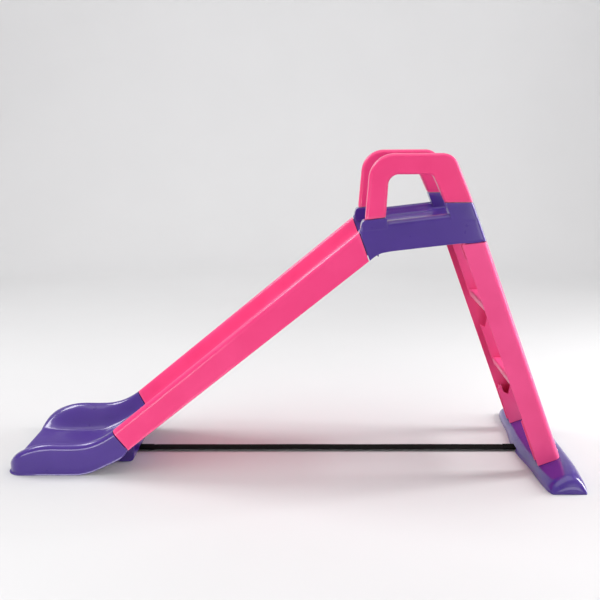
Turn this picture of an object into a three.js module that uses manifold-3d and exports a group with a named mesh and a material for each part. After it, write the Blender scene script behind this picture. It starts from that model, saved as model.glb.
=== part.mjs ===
// Toddler slide: a two-piece moulded chute, a small top platform with two loop handrails,
// a two-step ladder on a cross foot, and a spreader strap along the floor.
// Millimetres, +Z up, +X from the chute's mouth to the ladder, origin on the floor at the
// centre of the plan. Left is -Y, as seen by a child who sits on the deck facing down the chute.

import * as THREE from 'three';
import { mergeVertices } from 'three/addons/utils/BufferGeometryUtils.js';
import Module from 'manifold-3d';

const wasm = await Module();
wasm.setup();

// ---- Driving dimensions ----------------------------------------------------------------
const HALF_W = 200; // half of the outer width of chute, platform and ladder
const WALL = 3.5; // moulded wall thickness
const GAP = 0.3; // clearance between neighbouring pieces
const RIM_R = 15; // outer rounding of the chute's rolled rim
const RIM_FLAT = 7; // level crest of the rim
const BED_HALF = 140; // half width of the flat bed on the straight chute
const CHUTE_DEPTH = 42; // rim crest to bed, square to the slope
const SEAM_LOW = [-475.5, 121.5]; // rim crest at the joint of the two chute pieces
const SEAM_TOP = [184.5, 660]; // rim crest at the joint of chute and platform
const SKIRT_LOW = 65; // depth of the chute's side skirt at its lower end
const SKIRT_TOP = 75; // and at its upper end
const LAP = 42; // length of the tongues inside the upper chute
const COLUMN_IN = 154; // inner face of the platform's corner columns
const RAIL_OUT = 197; // outer face of the handrails
const RAIL_IN = 157; // inner face of the handrails
const TILT = THREE.MathUtils.degToRad(20.25); // lean of the ladder from upright
const LADDER_FOOT = [669.5, 26]; // lower front corner of the ladder's side rails
const STILE_DEPTH = 63.8; // side rail of the ladder, front to back
const STILE_IN = 154; // inner face of the side rails
const STILE_STEPBACK = 13; // how far the inner web stands behind the front edge
const TREAD_Z = [236, 446]; // tops of the two treads
const NOTCH_R = 60; // radius of the cut-outs in the inner webs under the treads
const FOOT_HALF = 330; // half length of the cross foot
const STRAP_W = 40; // webbing width
const STRAP_T = 2; // webbing thickness
const PIN_R = 3.5; // strap pins
const PIN_LEN = 62;
const PIN_CHUTE = [-452, 8]; // centre of the pin under the chute
const PIN_FOOT = [669, 8]; // centre of the pin inside the foot
const SCREW_R = 1.6; // self-tapping screw, shank radius
const SCREW_LEN = 11;
const SCREW_HEAD_R = 3.6;
const SCREW_HEAD_T = 2.2;
const HOLE_R = 1.95; // hole for a screw shank

const PINK = { color: 0xec4a86, roughness: 0.32, metalness: 0 };
const PURPLE = { color: 0x52348f, roughness: 0.3, metalness: 0 };
const BLACK = { color: 0x14110f, roughness: 0.85, metalness: 0 };
const STEEL = { color: 0xb9bcc0, roughness: 0.35, metalness: 1 };

const SLOPE = Math.atan2(SEAM_TOP[1] - SEAM_LOW[1], SEAM_TOP[0] - SEAM_LOW[0]);
const SQUARE = [Math.sin(SLOPE), -Math.cos(SLOPE)]; // down into the chute, square to the slope
const MITRE = THREE.MathUtils.degToRad(70.4); // lean of the top joint's plane

// ---- Solids ----------------------------------------------------------------------------

/** Turn a closed three.js geometry into a manifold solid, facing outwards. */
function solidOf(geometry, matrix) {
  const g = geometry.clone();
  g.deleteAttribute('normal');
  g.deleteAttribute('uv');
  if (matrix) {
    g.applyMatrix4(matrix);
  }
  const merged = mergeVertices(g, 1e-4);
  const vertProperties = new Float32Array(merged.attributes.position.array);
  const triVerts = new Uint32Array(merged.index.array);
  return new wasm.Manifold(new wasm.Mesh({ numProp: 3, vertProperties, triVerts }));
}

/** Turn a manifold solid into a three.js geometry. */
function geometryOf(manifold) {
  const mesh = manifold.getMesh();
  const g = new THREE.BufferGeometry();
  g.setAttribute('position', new THREE.BufferAttribute(new Float32Array(mesh.vertProperties), 3));
  g.setIndex(new THREE.BufferAttribute(new Uint32Array(mesh.triVerts), 1));
  g.computeVertexNormals();
  return g;
}

/** Skin a row of closed rings of equal length; flat[0] and flat[1] are the end rings in 2-D. */
function loft(rings, flatFirst, flatLast) {
  const n = rings[0].length;
  const points = rings.flat().flat();
  const faces = [];
  for (let i = 0; i + 1 < rings.length; i += 1) {
    for (let j = 0; j < n; j += 1) {
      const k = (j + 1) % n;
      faces.push(i * n + j, i * n + k, (i + 1) * n + k);
      faces.push(i * n + j, (i + 1) * n + k, (i + 1) * n + j);
    }
  }
  const cap = (flat, base, withRing) => {
    const contour = flat.map((p) => new THREE.Vector2(p[0], p[1]));
    const turn = Math.sign(THREE.ShapeUtils.area(contour)) * (withRing ? 1 : -1);
    const triangles = THREE.ShapeUtils.triangulateShape(contour, []);
    const signed = triangles.map((t) => THREE.ShapeUtils.area(t.map((i) => contour[i])));
    const keep = Math.sign(signed.reduce((sum, area) => sum + area, 0)) === turn;
    triangles.forEach(([a, b, c]) => faces.push(base + a, base + (keep ? b : c), base + (keep ? c : b)));
  };
  cap(flatFirst, 0, false);
  cap(flatLast, (rings.length - 1) * n, true);
  let volume = 0;
  const v = (i) => new THREE.Vector3(points[3 * i], points[3 * i + 1], points[3 * i + 2]);
  for (let i = 0; i < faces.length; i += 3) {
    volume += v(faces[i]).dot(v(faces[i + 1]).cross(v(faces[i + 2])));
  }
  if (volume < 0) {
    faces.reverse();
  }
  const mesh = new wasm.Mesh({
    numProp: 3,
    vertProperties: new Float32Array(points),
    triVerts: new Uint32Array(faces),
  });
  return new wasm.Manifold(mesh);
}

function box(x0, x1, y0, y1, z0, z1) {
  const g = new THREE.BoxGeometry(x1 - x0, y1 - y0, z1 - z0);
  return solidOf(g, new THREE.Matrix4().makeTranslation((x0 + x1) / 2, (y0 + y1) / 2, (z0 + z1) / 2));
}

/** Extrude an X-Z outline across Y from y0 to y1. */
function slab(outline, y0, y1, holes = []) {
  const shape = new THREE.Shape(outline.map(([x, z]) => new THREE.Vector2(x, z)));
  holes.forEach((hole) => {
    shape.holes.push(new THREE.Path(hole.map(([x, z]) => new THREE.Vector2(x, z))));
  });
  const g = new THREE.ExtrudeGeometry(shape, { depth: y1 - y0, bevelEnabled: false });
  const turn = new THREE.Matrix4().makeRotationX(Math.PI / 2);
  return solidOf(g, new THREE.Matrix4().makeTranslation(0, y1, 0).multiply(turn));
}

/** A cylinder of radius r from a to b, given as points. */
function rod(a, b, r, sides = 12) {
  const start = new THREE.Vector3(...a);
  const axis = new THREE.Vector3(...b).sub(start);
  const g = new THREE.CylinderGeometry(r, r, axis.length(), sides);
  const up = new THREE.Vector3(0, 1, 0);
  const turn = new THREE.Quaternion().setFromUnitVectors(up, axis.clone().normalize());
  const centre = start.clone().addScaledVector(axis, 0.5);
  return solidOf(g, new THREE.Matrix4().compose(centre, turn, new THREE.Vector3(1, 1, 1)));
}

/** Both sides of a piece made for +Y. */
function bothSides(make) {
  return [1, -1].map((side) => {
    const solid = make();
    return side > 0 ? solid : solid.mirror([0, 1, 0]);
  });
}

function addAll(first, rest) {
  return rest.reduce((sum, part) => sum.add(part), first);
}

function cutAll(first, rest) {
  return rest.reduce((sum, part) => sum.subtract(part), first);
}

// ---- The chute's cross-section ------------------------------------------------------------

/** Half of the section, from the skirt's foot over the rim to the bed, as [y, height]. */
function halfSection({ w, skirt, depth, rim, bedHalf }) {
  const line = [[w, -skirt], [w, -rim]];
  const arc = 4;
  for (let i = 1; i <= arc; i += 1) {
    const a = (i / arc) * (Math.PI / 2);
    line.push([w - rim + rim * Math.cos(a), -rim + rim * Math.sin(a)]);
  }
  const inner = w - rim - RIM_FLAT;
  const steps = 8;
  for (let i = 0; i <= steps; i += 1) {
    const t = i / steps;
    line.push([inner + (bedHalf - inner) * t, (-depth * (1 - Math.cos(Math.PI * t))) / 2]);
  }
  return line;
}

/** Shift a half section inwards by d, square to itself, with its foot carried lower. */
function inset(line, d) {
  const out = line.map((p, i) => {
    const a = line[Math.max(i - 1, 0)];
    const b = line[Math.min(i + 1, line.length - 1)];
    const tangent = new THREE.Vector2(b[0] - a[0], b[1] - a[1]).normalize();
    return [p[0] - d * tangent.y, p[1] + d * tangent.x];
  });
  out[0] = [line[0][0] - d, line[0][1] - 6];
  out[1] = [line[1][0] - d, line[1][1]];
  out[out.length - 1] = [line[line.length - 1][0], line[line.length - 1][1] - d];
  return out;
}

/** A closed ring in space at one station of the channel. */
function channelRing(station, d) {
  const half = d > 0 ? inset(halfSection(station), d) : halfSection(station);
  const full = half.concat(half.map(([y, h]) => [-y, h]).reverse());
  const [cx, cz] = station.crest;
  const [dx, dz] = station.down;
  return { ring: full.map(([y, h]) => [cx - dx * h, y, cz - dz * h]), flat: full };
}

/** The filled channel body through a row of stations, inset by d. */
function channelBody(stations, d) {
  const rings = stations.map((s) => channelRing(s, d));
  return loft(rings.map((r) => r.ring), rings[0].flat, rings[rings.length - 1].flat);
}

function chuteStation(crest, down, skirt, extra = {}) {
  return { crest, down, skirt, w: HALF_W, depth: CHUTE_DEPTH, rim: RIM_R, bedHalf: BED_HALF, ...extra };
}

/** Move a station along the X-Z direction of the slope. */
function along(station, distance) {
  const crest = [
    station.crest[0] + distance * Math.cos(SLOPE),
    station.crest[1] + distance * Math.sin(SLOPE),
  ];
  return { ...station, crest };
}

const mitreScale = 1 / Math.cos(MITRE - (Math.PI / 2 - SLOPE));
const MITRE_DOWN = [Math.cos(MITRE) * mitreScale, -Math.sin(MITRE) * mitreScale];
const lowStation = chuteStation(SEAM_LOW, SQUARE, SKIRT_LOW);
const topStation = chuteStation(SEAM_TOP, MITRE_DOWN, SKIRT_TOP);

// ---- Upper chute ---------------------------------------------------------------------------

function makeUpperChute() {
  const ends = [along(lowStation, GAP / 2), along(topStation, -GAP / 2)];
  const filled = channelBody(ends, 0);
  const hollow = channelBody([along(lowStation, -2), along(topStation, 2)], WALL);
  const ribs = [150, 290, 430, 570, 700].map((s) => {
    const [x, z] = along(lowStation, s).crest;
    const centre = new THREE.Vector3(x + SQUARE[0] * 46, 0, z + SQUARE[1] * 46);
    const turn = new THREE.Quaternion().setFromAxisAngle(new THREE.Vector3(0, 1, 0), -SLOPE);
    const m = new THREE.Matrix4().compose(centre, turn, new THREE.Vector3(1, 1, 1));
    return solidOf(new THREE.BoxGeometry(3, 2 * HALF_W - 4, 26), m).intersect(filled);
  });
  return addAll(filled.subtract(hollow), ribs);
}

// ---- Lower chute and run-out -----------------------------------------------------------------

// Each row: crest X, crest Z, tilt of the section in degrees, skirt depth, bed depth.
const RUN_OUT = [
  [-495, 108.6, 33, 73, 44],
  [-516, 97.6, 25, 72.5, 48],
  [-536, 90, 18, 75, 53],
  [-557, 85.2, 11, 80, 58],
  [-580, 83.2, 5, 82.8, 63],
  [-606, 83, 0, 83, 65],
  [-636, 83.5, 0, 83.5, 65.5],
  [-661, 82, 0, 82, 63.5],
  [-686, 76, 0, 76, 57],
];
// The mouth: crest X, crest Z, bed Z, half width; the plan's corners are rounded.
const MOUTH = [
  [-706, 68.8, 19.6, 200],
  [-722, 61.2, 20.6, 198],
  [-736, 53.4, 21.8, 192.3],
  [-747, 45, 23, 184.8],
  [-755, 36.5, 24, 176.5],
  [-760, 30.5, 24.2, 168],
  [-763, 24.5, 21.5, 159],
  [-764.5, 18, 17, 150],
];

function mouthStation([x, z, bed, w]) {
  const rim = Math.min(RIM_R, 0.55 * z);
  const bedHalf = Math.min(BED_HALF, w - rim - RIM_FLAT - 14);
  return { crest: [x, z], down: [0, -1], skirt: z, depth: z - bed, rim, w, bedHalf };
}

function makeLowerChute() {
  const slopes = RUN_OUT.map(([x, z, degrees, skirt, depth]) => {
    const a = THREE.MathUtils.degToRad(degrees);
    return chuteStation([x, z], [Math.sin(a), -Math.cos(a)], skirt, { depth });
  });
  const stations = [along(lowStation, -GAP / 2), ...slopes, ...MOUTH.map(mouthStation)];
  const filled = channelBody(stations, 0);
  const inside = [along(lowStation, 2), ...stations.slice(1, -1)];
  const hollow = channelBody(inside, WALL);
  // Floor flange round the mouth.
  const flange = new THREE.Shape();
  const corner = 62;
  flange.moveTo(-690, -HALF_W - 1);
  flange.lineTo(-769.5 + corner, -HALF_W - 1);
  flange.absarc(-769.5 + corner, -HALF_W - 1 + corner, corner, -Math.PI / 2, -Math.PI, true);
  flange.lineTo(-769.5, HALF_W + 1 - corner);
  flange.absarc(-769.5 + corner, HALF_W + 1 - corner, corner, Math.PI, Math.PI / 2, true);
  flange.lineTo(-690, HALF_W + 1);
  flange.lineTo(-690, HALF_W - 2);
  flange.absarc(-755.5 + corner, HALF_W - 10 - corner, corner, Math.PI / 2, Math.PI, false);
  flange.absarc(-755.5 + corner, corner + 10 - HALF_W, corner, Math.PI, 1.5 * Math.PI, false);
  flange.lineTo(-690, 2 - HALF_W);
  const lip = solidOf(new THREE.ExtrudeGeometry(flange, { depth: 3, bevelEnabled: false, curveSegments: 6 }));
  // Cross ribs under the bed.
  const ribs = [-735, -690, -640, -590].map((x) => {
    return box(x - 1.5, x + 1.5, 4 - HALF_W, HALF_W - 4, 2, 60).intersect(filled);
  });
  // Cross leg that carries the strap pin.
  const leg = slab(
    [[-493.5, 90], [-493.5, 14], [-489, 4], [-480, 0], [-456, 0], [-445, 6], [-439, 18], [-438.5, 64],
      [-461, 64], [-461, 90]],
    -100, 100,
  ).intersect(filled);
  const legHollow = slab(
    [[-490, 60], [-490, 15], [-486.5, 7], [-480, -1], [-456, -1], [-448, 8], [-442.5, 19], [-442, 48],
      [-465, 60]],
    -96.5, 96.5,
  );
  const cheeks = [-30, 26].map((y) => slab([[-489, 56], [-489, 15], [-480, 1], [-456, 1], [-443, 15],
    [-443, 50]], y, y + 4));
  const slot = box(-450, -430, -24, 24, -2, 13.5);
  const pinHole = rod([PIN_CHUTE[0], -40, PIN_CHUTE[1]], [PIN_CHUTE[0], 40, PIN_CHUTE[1]], PIN_R + GAP);
  // Tongue that slides into the upper chute.
  const tongue = channelBody([along(lowStation, -12), along(lowStation, LAP)], WALL + GAP)
    .subtract(channelBody([along(lowStation, -14), along(lowStation, LAP + 2)], 2 * WALL + GAP))
    .subtract(skirtTrim(lowStation, LAP));
  const collar = channelBody([along(lowStation, -12), along(lowStation, -2)], WALL / 2)
    .subtract(channelBody([along(lowStation, -14), along(lowStation, 0)], 2 * WALL + GAP))
    .subtract(skirtTrim(lowStation, LAP));
  let shell = addAll(filled.subtract(hollow), [lip, ...ribs, tongue, collar]);
  shell = shell.add(leg.subtract(legHollow)).add(addAll(cheeks[0], [cheeks[1]]));
  return shell.subtract(slot).subtract(pinHole);
}

/** Cuts a tongue's side walls back from the skirt's foot, so that the lap stays out of sight. */
function skirtTrim(station, reach) {
  const [cx, cz] = station.crest;
  const [dx, dz] = [SQUARE[0], SQUARE[1]];
  const [ux, uz] = [Math.cos(SLOPE), Math.sin(SLOPE)];
  const corner = (s, h) => [cx + ux * s + dx * h, cz + uz * s + dz * h];
  const level = station.skirt - 12;
  return slab([corner(-30, level), corner(reach + 20, level), corner(reach + 20, level + 60),
    corner(-30, level + 60)], -HALF_W - 5, HALF_W + 5);
}

// ---- Platform ----------------------------------------------------------------------------------

// Each row: crest X, crest Z, lean of the section in degrees, skirt depth, bed depth.
const DECK = [
  [196, 681, 15.6, 92, 55.5],
  [222, 683, 7.5, 83, 42],
  [249, 685.6, 0, 79.3, 31],
  [272, 688.2, 0, 77.8, 24.5],
  [300, 691.3, 0, 77.8, 22],
  [440, 707, 0, 77.8, 22],
  [470, 710.3, 12, 80.5, 22.4],
];
const DECK_REAR = [484.5, 709.5]; // top of the platform's rear face
const FRONT_COLUMN = [[185.6, 658], [188, 666], [193, 687.4], [196, 688.4], [254, 695.2], [259, 675],
  [262, 640], [228, 606], [211, 600]];
const REAR_COLUMN = [[400.5, 690], [403, 732.6], [476.6, 732.6], [512.9, 634.6], [452, 628.6], [418, 660]];

/** Shrink a convex outline towards its centre by about d. */
function shrink(outline, d) {
  const n = outline.length;
  const area = THREE.ShapeUtils.area(outline.map(([x, z]) => new THREE.Vector2(x, z)));
  const sign = area > 0 ? 1 : -1;
  return outline.map((p, i) => {
    const a = outline[(i + n - 1) % n];
    const b = outline[(i + 1) % n];
    const e = new THREE.Vector2(p[0] - a[0], p[1] - a[1]).normalize();
    const f = new THREE.Vector2(b[0] - p[0], b[1] - p[1]).normalize();
    const m = new THREE.Vector2(-(e.y + f.y), e.x + f.x).multiplyScalar(sign);
    const reach = d / Math.max(0.35, 0.5 * m.lengthSq());
    return [p[0] + m.x * reach, p[1] + m.y * reach];
  });
}

/** A block with rounded outer edges: full outline inside, smaller at the outer face. */
function column(outline, yIn, yOut, r) {
  const steps = [[yIn, 0], [yOut - r, 0], [yOut - 0.38 * r, 0.29 * r], [yOut, r]];
  const rings = steps.map(([y, d]) => shrink(outline, d).map(([x, z]) => [x, y, z]));
  return loft(rings, outline, outline);
}

function deckStations() {
  const first = { ...along(topStation, GAP / 2) };
  const rows = DECK.map(([x, z, degrees, skirt, depth]) => {
    const a = THREE.MathUtils.degToRad(degrees);
    return chuteStation([x, z], [Math.sin(a), -Math.cos(a)], skirt, { depth });
  });
  const rear = chuteStation(DECK_REAR, [Math.sin(TILT), -Math.cos(TILT)], 79.5, { depth: 20 });
  return [first, ...rows, rear];
}

function makePlatform(socketFront, socketRear, screwHoles) {
  const stations = deckStations();
  const filled = channelBody(stations, 0);
  const rearInside = { ...stations[stations.length - 1] };
  rearInside.crest = [DECK_REAR[0] - WALL * 1.2, DECK_REAR[1]];
  const hollow = channelBody([along(topStation, -3), ...stations.slice(1, -1), rearInside], WALL);
  let outer = filled;
  let inner = hollow;
  bothSides(() => column(FRONT_COLUMN, COLUMN_IN, HALF_W, 3)).forEach((c) => {
    outer = outer.add(c);
  });
  bothSides(() => column(REAR_COLUMN, COLUMN_IN, HALF_W, 4)).forEach((c) => {
    outer = outer.add(c);
  });
  const frontVoid = shrink(FRONT_COLUMN, WALL);
  const rearTop = shrink(REAR_COLUMN, WALL).slice(0, 3);
  const rearVoid = [...rearTop, [509.2, 633.8], [516, 612], [440, 612], [421, 660]];
  bothSides(() => slab(frontVoid, COLUMN_IN + WALL, HALF_W - WALL)).forEach((c) => {
    inner = inner.add(c);
  });
  bothSides(() => slab(rearVoid, COLUMN_IN + WALL, HALF_W - WALL)).forEach((c) => {
    inner = inner.add(c);
  });
  let shell = outer.subtract(inner);
  // Tongue that slides into the upper chute, and the collar that carries it.
  const tongue = channelBody([along(lowerOf(topStation), -LAP), along(topStation, 14)], WALL + GAP)
    .subtract(channelBody([along(lowerOf(topStation), -LAP - 2), along(topStation, 16)], 2 * WALL + GAP))
    .subtract(skirtTrim({ ...topStation, skirt: SKIRT_TOP }, 40).translate([-20, 0, -16]));
  const collar = channelBody([along(topStation, 2), along(topStation, 14)], WALL / 2)
    .subtract(channelBody([along(topStation, 0), along(topStation, 16)], 2 * WALL + GAP))
    .subtract(skirtTrim({ ...topStation, skirt: SKIRT_TOP }, 40).translate([-20, 0, -16]));
  shell = shell.add(tongue).add(collar);
  // Latch tabs that hang below the skirt behind the joint.
  const latch = [[236, 650], [236, 598], [231, 594], [239, 588], [240, 650]];
  bothSides(() => slab(latch, 138, 154)).forEach((tab) => {
    shell = shell.add(tab);
  });
  // Cross ribs under the deck.
  [300, 350, 400].forEach((x) => {
    shell = shell.add(box(x - 1.5, x + 1.5, 4 - HALF_W, HALF_W - 4, 645, 700).intersect(filled));
  });
  shell = cutAll(shell, socketFront);
  shell = cutAll(shell, socketRear);
  return cutAll(shell, screwHoles);
}

/** The station square to the slope that shares a mitred station's crest. */
function lowerOf(station) {
  return { ...station, down: SQUARE };
}

// ---- Handrails ---------------------------------------------------------------------------------

/** Outline points with a rounded corner of radius r between neighbours. */
function rounded(corners, segments) {
  const out = [];
  corners.forEach(([x, z, r], i) => {
    const n = corners.length;
    if (!r) {
      out.push([x, z]);
      return;
    }
    const a = corners[(i + n - 1) % n];
    const b = corners[(i + 1) % n];
    const p = new THREE.Vector2(x, z);
    const e = new THREE.Vector2(a[0], a[1]).sub(p).normalize();
    const f = new THREE.Vector2(b[0], b[1]).sub(p).normalize();
    const half = Math.acos(THREE.MathUtils.clamp(e.dot(f), -1, 1)) / 2;
    const t = r / Math.tan(half);
    const start = p.clone().addScaledVector(e, t);
    const centre = p.clone().addScaledVector(e.clone().add(f).normalize(), r / Math.sin(half));
    const end = p.clone().addScaledVector(f, t);
    const a0 = Math.atan2(start.y - centre.y, start.x - centre.x);
    let sweep = Math.atan2(end.y - centre.y, end.x - centre.x) - a0;
    sweep = Math.atan2(Math.sin(sweep), Math.cos(sweep));
    for (let s = 0; s <= segments; s += 1) {
      const angle = a0 + (sweep * s) / segments;
      out.push([centre.x + r * Math.cos(angle), centre.y + r * Math.sin(angle)]);
    }
  });
  return out;
}

const RAIL_OUTER = [[200.2, 689.6, 0], [203.4, 857.5, 64], [424, 857.5, 42], [476.2, 733.2, 0],
  [403.8, 733.2, 0], [371, 805, 16], [260, 805, 27], [253.4, 695.8, 0]];

const SEAT_SLOPE = (695.8 - 689.6) / (253.4 - 200.2); // tilt of the front leg's seat

function makeHandrail(plugs, hollows) {
  const outline = rounded(RAIL_OUTER, 7);
  const edge = 8;
  const steps = [[RAIL_IN, edge], [RAIL_IN + 0.3 * edge, 0.3 * edge], [RAIL_IN + edge, 0]];
  const mirrored = steps.slice().reverse().map(([y, d]) => [RAIL_IN + RAIL_OUT - y, d]);
  const rings = [...steps, ...mirrored].map(([y, d]) => {
    return squeeze(outline, d).map(([x, z]) => [x, y, z]);
  });
  const bar = loft(rings, squeeze(outline, edge), squeeze(outline, edge));
  const inside = squeeze(outline, WALL + 3);
  const hollow = loft(
    [RAIL_IN + WALL, RAIL_OUT - WALL].map((y) => inside.map(([x, z]) => [x, y, z])),
    inside,
    inside,
  );
  // The legs keep a floor above their seats, which only the bores of the plugs pass.
  const floors = [box(190, 300, 150, 204, 680, 700), box(380, 500, 150, 204, 720, 738)];
  return cutAll(addAll(bar, plugs), [cutAll(hollow, floors), ...hollows]);
}

/** Inset the handrail outline by d, but keep the two leg ends on their seats. */
function squeeze(outline, d) {
  return shrink(outline, d).map((p, i) => {
    const [x, z] = outline[i];
    const seat = z < 700 ? SEAT_SLOPE : 0;
    return z < 734 ? [p[0], z + (p[0] - x) * seat] : p;
  });
}

// ---- Ladder ------------------------------------------------------------------------------------

const LADDER_FRAME = new THREE.Matrix4().makeTranslation(LADDER_FOOT[0], 0, LADDER_FOOT[1])
  .multiply(new THREE.Matrix4().makeRotationY(-TILT));

/** A slab given by its outline in the ladder's own frame: depth from front, height along the rail. */
function ladderSlab(outline, y0, y1) {
  return slab(outline, y0, y1).transform(LADDER_FRAME.elements);
}

/** A block with section [depth, y] extruded along the rail from s0 to s1. */
function ladderPost(section, s0, s1) {
  const shape = new THREE.Shape(section.map(([p, y]) => new THREE.Vector2(p, y)));
  const g = new THREE.ExtrudeGeometry(shape, { depth: s1 - s0, bevelEnabled: false });
  return solidOf(g, LADDER_FRAME.clone().multiply(new THREE.Matrix4().makeTranslation(0, 0, s0)));
}

/** Section of the side rail with rounded rear corners, shrunk by d. */
function stileSection(d, r) {
  const back = STILE_DEPTH - d;
  const out = HALF_W - d;
  const inn = STILE_IN + d;
  const line = [[d, inn], [back - 5, inn], [back - 1.5, inn + 1.5], [back, inn + 5], [back, out - r]];
  for (let i = 1; i <= 5; i += 1) {
    const a = (i / 5) * (Math.PI / 2);
    line.push([back - r + r * Math.cos(a), out - r + r * Math.sin(a)]);
  }
  line.push([d, out]);
  return line;
}

const STILE_TOP = 662; // along the rail, beyond the platform's skirt
const TENON_TOP = 706;
const BOX_LOW = 118; // the rail is boxed in below this height
const BOX_HIGH = 592; // and above this one

function makeStile() {
  let stile = ladderPost(stileSection(0, 12), GAP, STILE_TOP);
  stile = stile.subtract(ladderPost(stileSection(WALL, 9), -2, STILE_TOP + 2));
  // Open front and set-back inner web between the boxed ends.
  const open = [[-5, BOX_LOW], [WALL + 1, BOX_LOW], [WALL + 1, BOX_HIGH], [-5, BOX_HIGH]];
  stile = stile.subtract(ladderSlab(open, STILE_IN + WALL, HALF_W - WALL));
  const setBack = [
    [-5, BOX_LOW], [STILE_STEPBACK, BOX_LOW + 10], [STILE_STEPBACK, BOX_HIGH - 6], [-5, BOX_HIGH],
  ];
  stile = stile.subtract(ladderSlab(setBack, STILE_IN - 2, STILE_IN + WALL + 2));
  return stile;
}

/** A tread: a channel turned upside down, level on top, between the two side rails. */
function makeTread(z) {
  const run = Math.tan(TILT);
  const front = LADDER_FOOT[0] - (z - LADDER_FOOT[1]) * run + (STILE_STEPBACK + 1) / Math.cos(TILT);
  const back = front + (STILE_DEPTH - STILE_STEPBACK - 2) / Math.cos(TILT);
  const outer = [
    [front + 3, z], [front, z - 3], [front + 22 * run, z - 22],
    [back + 26 * run, z - 26], [back, z - 4], [back - 4, z],
  ];
  const hollow = [
    [front + WALL + 0.6, z - WALL], [front + WALL + 30 * run, z - 30],
    [back - WALL + 30 * run, z - 30], [back - WALL - 0.6, z - WALL],
  ];
  const body = slab(outer, -STILE_IN - 1.5, STILE_IN + 1.5);
  return body.subtract(slab(hollow, -STILE_IN - 3, STILE_IN + 3));
}

function makeLadder(seamCut, screwHoles) {
  const stiles = bothSides(() => makeStile());
  const treads = TREAD_Z.map(makeTread);
  let ladder = addAll(stiles[0], [stiles[1], ...treads]);
  TREAD_Z.forEach((z) => {
    const rearX = LADDER_FOOT[0] - (z - 58 - LADDER_FOOT[1]) * Math.tan(TILT);
    const cx = rearX + (STILE_DEPTH - 3) / Math.cos(TILT);
    const arc = [];
    for (let i = 0; i <= 10; i += 1) {
      const a = Math.PI + (i / 10) * 1.28;
      arc.push([cx + NOTCH_R * Math.cos(a), z - 58 + NOTCH_R * Math.sin(a)]);
    }
    const notch = [...arc, [cx - 2, z - 27], [cx - NOTCH_R - 25, z - 27]];
    bothSides(() => slab(notch, STILE_IN - 4, STILE_IN + WALL + 3)).forEach((cut) => {
      ladder = ladder.subtract(cut);
    });
  });
  ladder = ladder.subtract(seamCut);
  // Tenons inside the platform's rear columns, on collars inside the rails.
  const tenonSection = (d) => {
    const inn = COLUMN_IN + WALL + GAP + d;
    const out = HALF_W - WALL - GAP - d;
    const front = WALL + 6 + d;
    const back = STILE_DEPTH - WALL - 1.4 - d;
    return [[front, inn], [back, inn], [back, out], [front, out]];
  };
  const tenons = bothSides(() => {
    return ladderPost(tenonSection(-0.2), 612, 640)
      .add(ladderPost(tenonSection(0.1), 638, TENON_TOP))
      .subtract(ladderPost(tenonSection(WALL), 610, TENON_TOP + 2));
  });
  return cutAll(addAll(ladder, tenons), screwHoles);
}

// ---- Foot ----------------------------------------------------------------------------------------

const FOOT_MID = [[646.5, 0], [650, 9], [658, 19.5], [668, 25.45], [700, 37.25], [730.5, 48.5], [741, 49.6],
  [752, 45.5], [761, 35], [767, 20], [769.5, 9], [769.5, 0]];
const FOOT_END = [[661, 0], [664, 11], [672, 21], [684, 30], [700, 37.2], [715, 42], [727, 43], [740, 40.5],
  [751, 34], [761, 23], [767, 11], [768.5, 0]];
const FOOT_NOSE = [[680, 0], [682, 9], [687, 17], [695, 25], [706, 32], [716, 36], [726, 37], [735, 35],
  [742, 29], [748, 20], [751, 10], [752, 0]];

function blendRing(a, b, t) {
  return a.map(([x, z], i) => [x + (b[i][0] - x) * t, z + (b[i][1] - z) * t]);
}

function footRings(d) {
  const rows = [
    [-FOOT_HALF, FOOT_END, FOOT_NOSE, 0.72],
    [-FOOT_HALF + 6, FOOT_END, FOOT_NOSE, 0.22],
    [-FOOT_HALF + 18, FOOT_MID, FOOT_END, 0.95],
    [-285, FOOT_MID, FOOT_END, 0.5],
    [-245, FOOT_MID, FOOT_END, 0.12],
    [-205, FOOT_MID, FOOT_END, 0],
    [0, FOOT_MID, FOOT_END, 0],
  ];
  const all = [...rows, ...rows.slice(0, -1).reverse().map((r) => [-r[0], r[1], r[2], r[3]])];
  return all.map(([y, a, b, t]) => {
    const line = blendRing(a, b, t).map(([x, z], i) => {
      const bow = i < 4 ? 12 * (y / FOOT_HALF) ** 2 * (1 - i / 4) * (t > 0.9 ? 0 : 1) : 0;
      return [x + bow, z];
    });
    if (!d) {
      return { y, line };
    }
    const small = shrink(line, d).map(([x, z], i) => [x, i === 0 || i === line.length - 1 ? -4 : z]);
    return { y: y * ((FOOT_HALF - d) / FOOT_HALF), line: small };
  });
}

function footBody(d) {
  const rings = footRings(d);
  const flat = rings[0].line;
  return loft(rings.map(({ y, line }) => line.map(([x, z]) => [x, y, z])), flat, flat);
}

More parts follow.
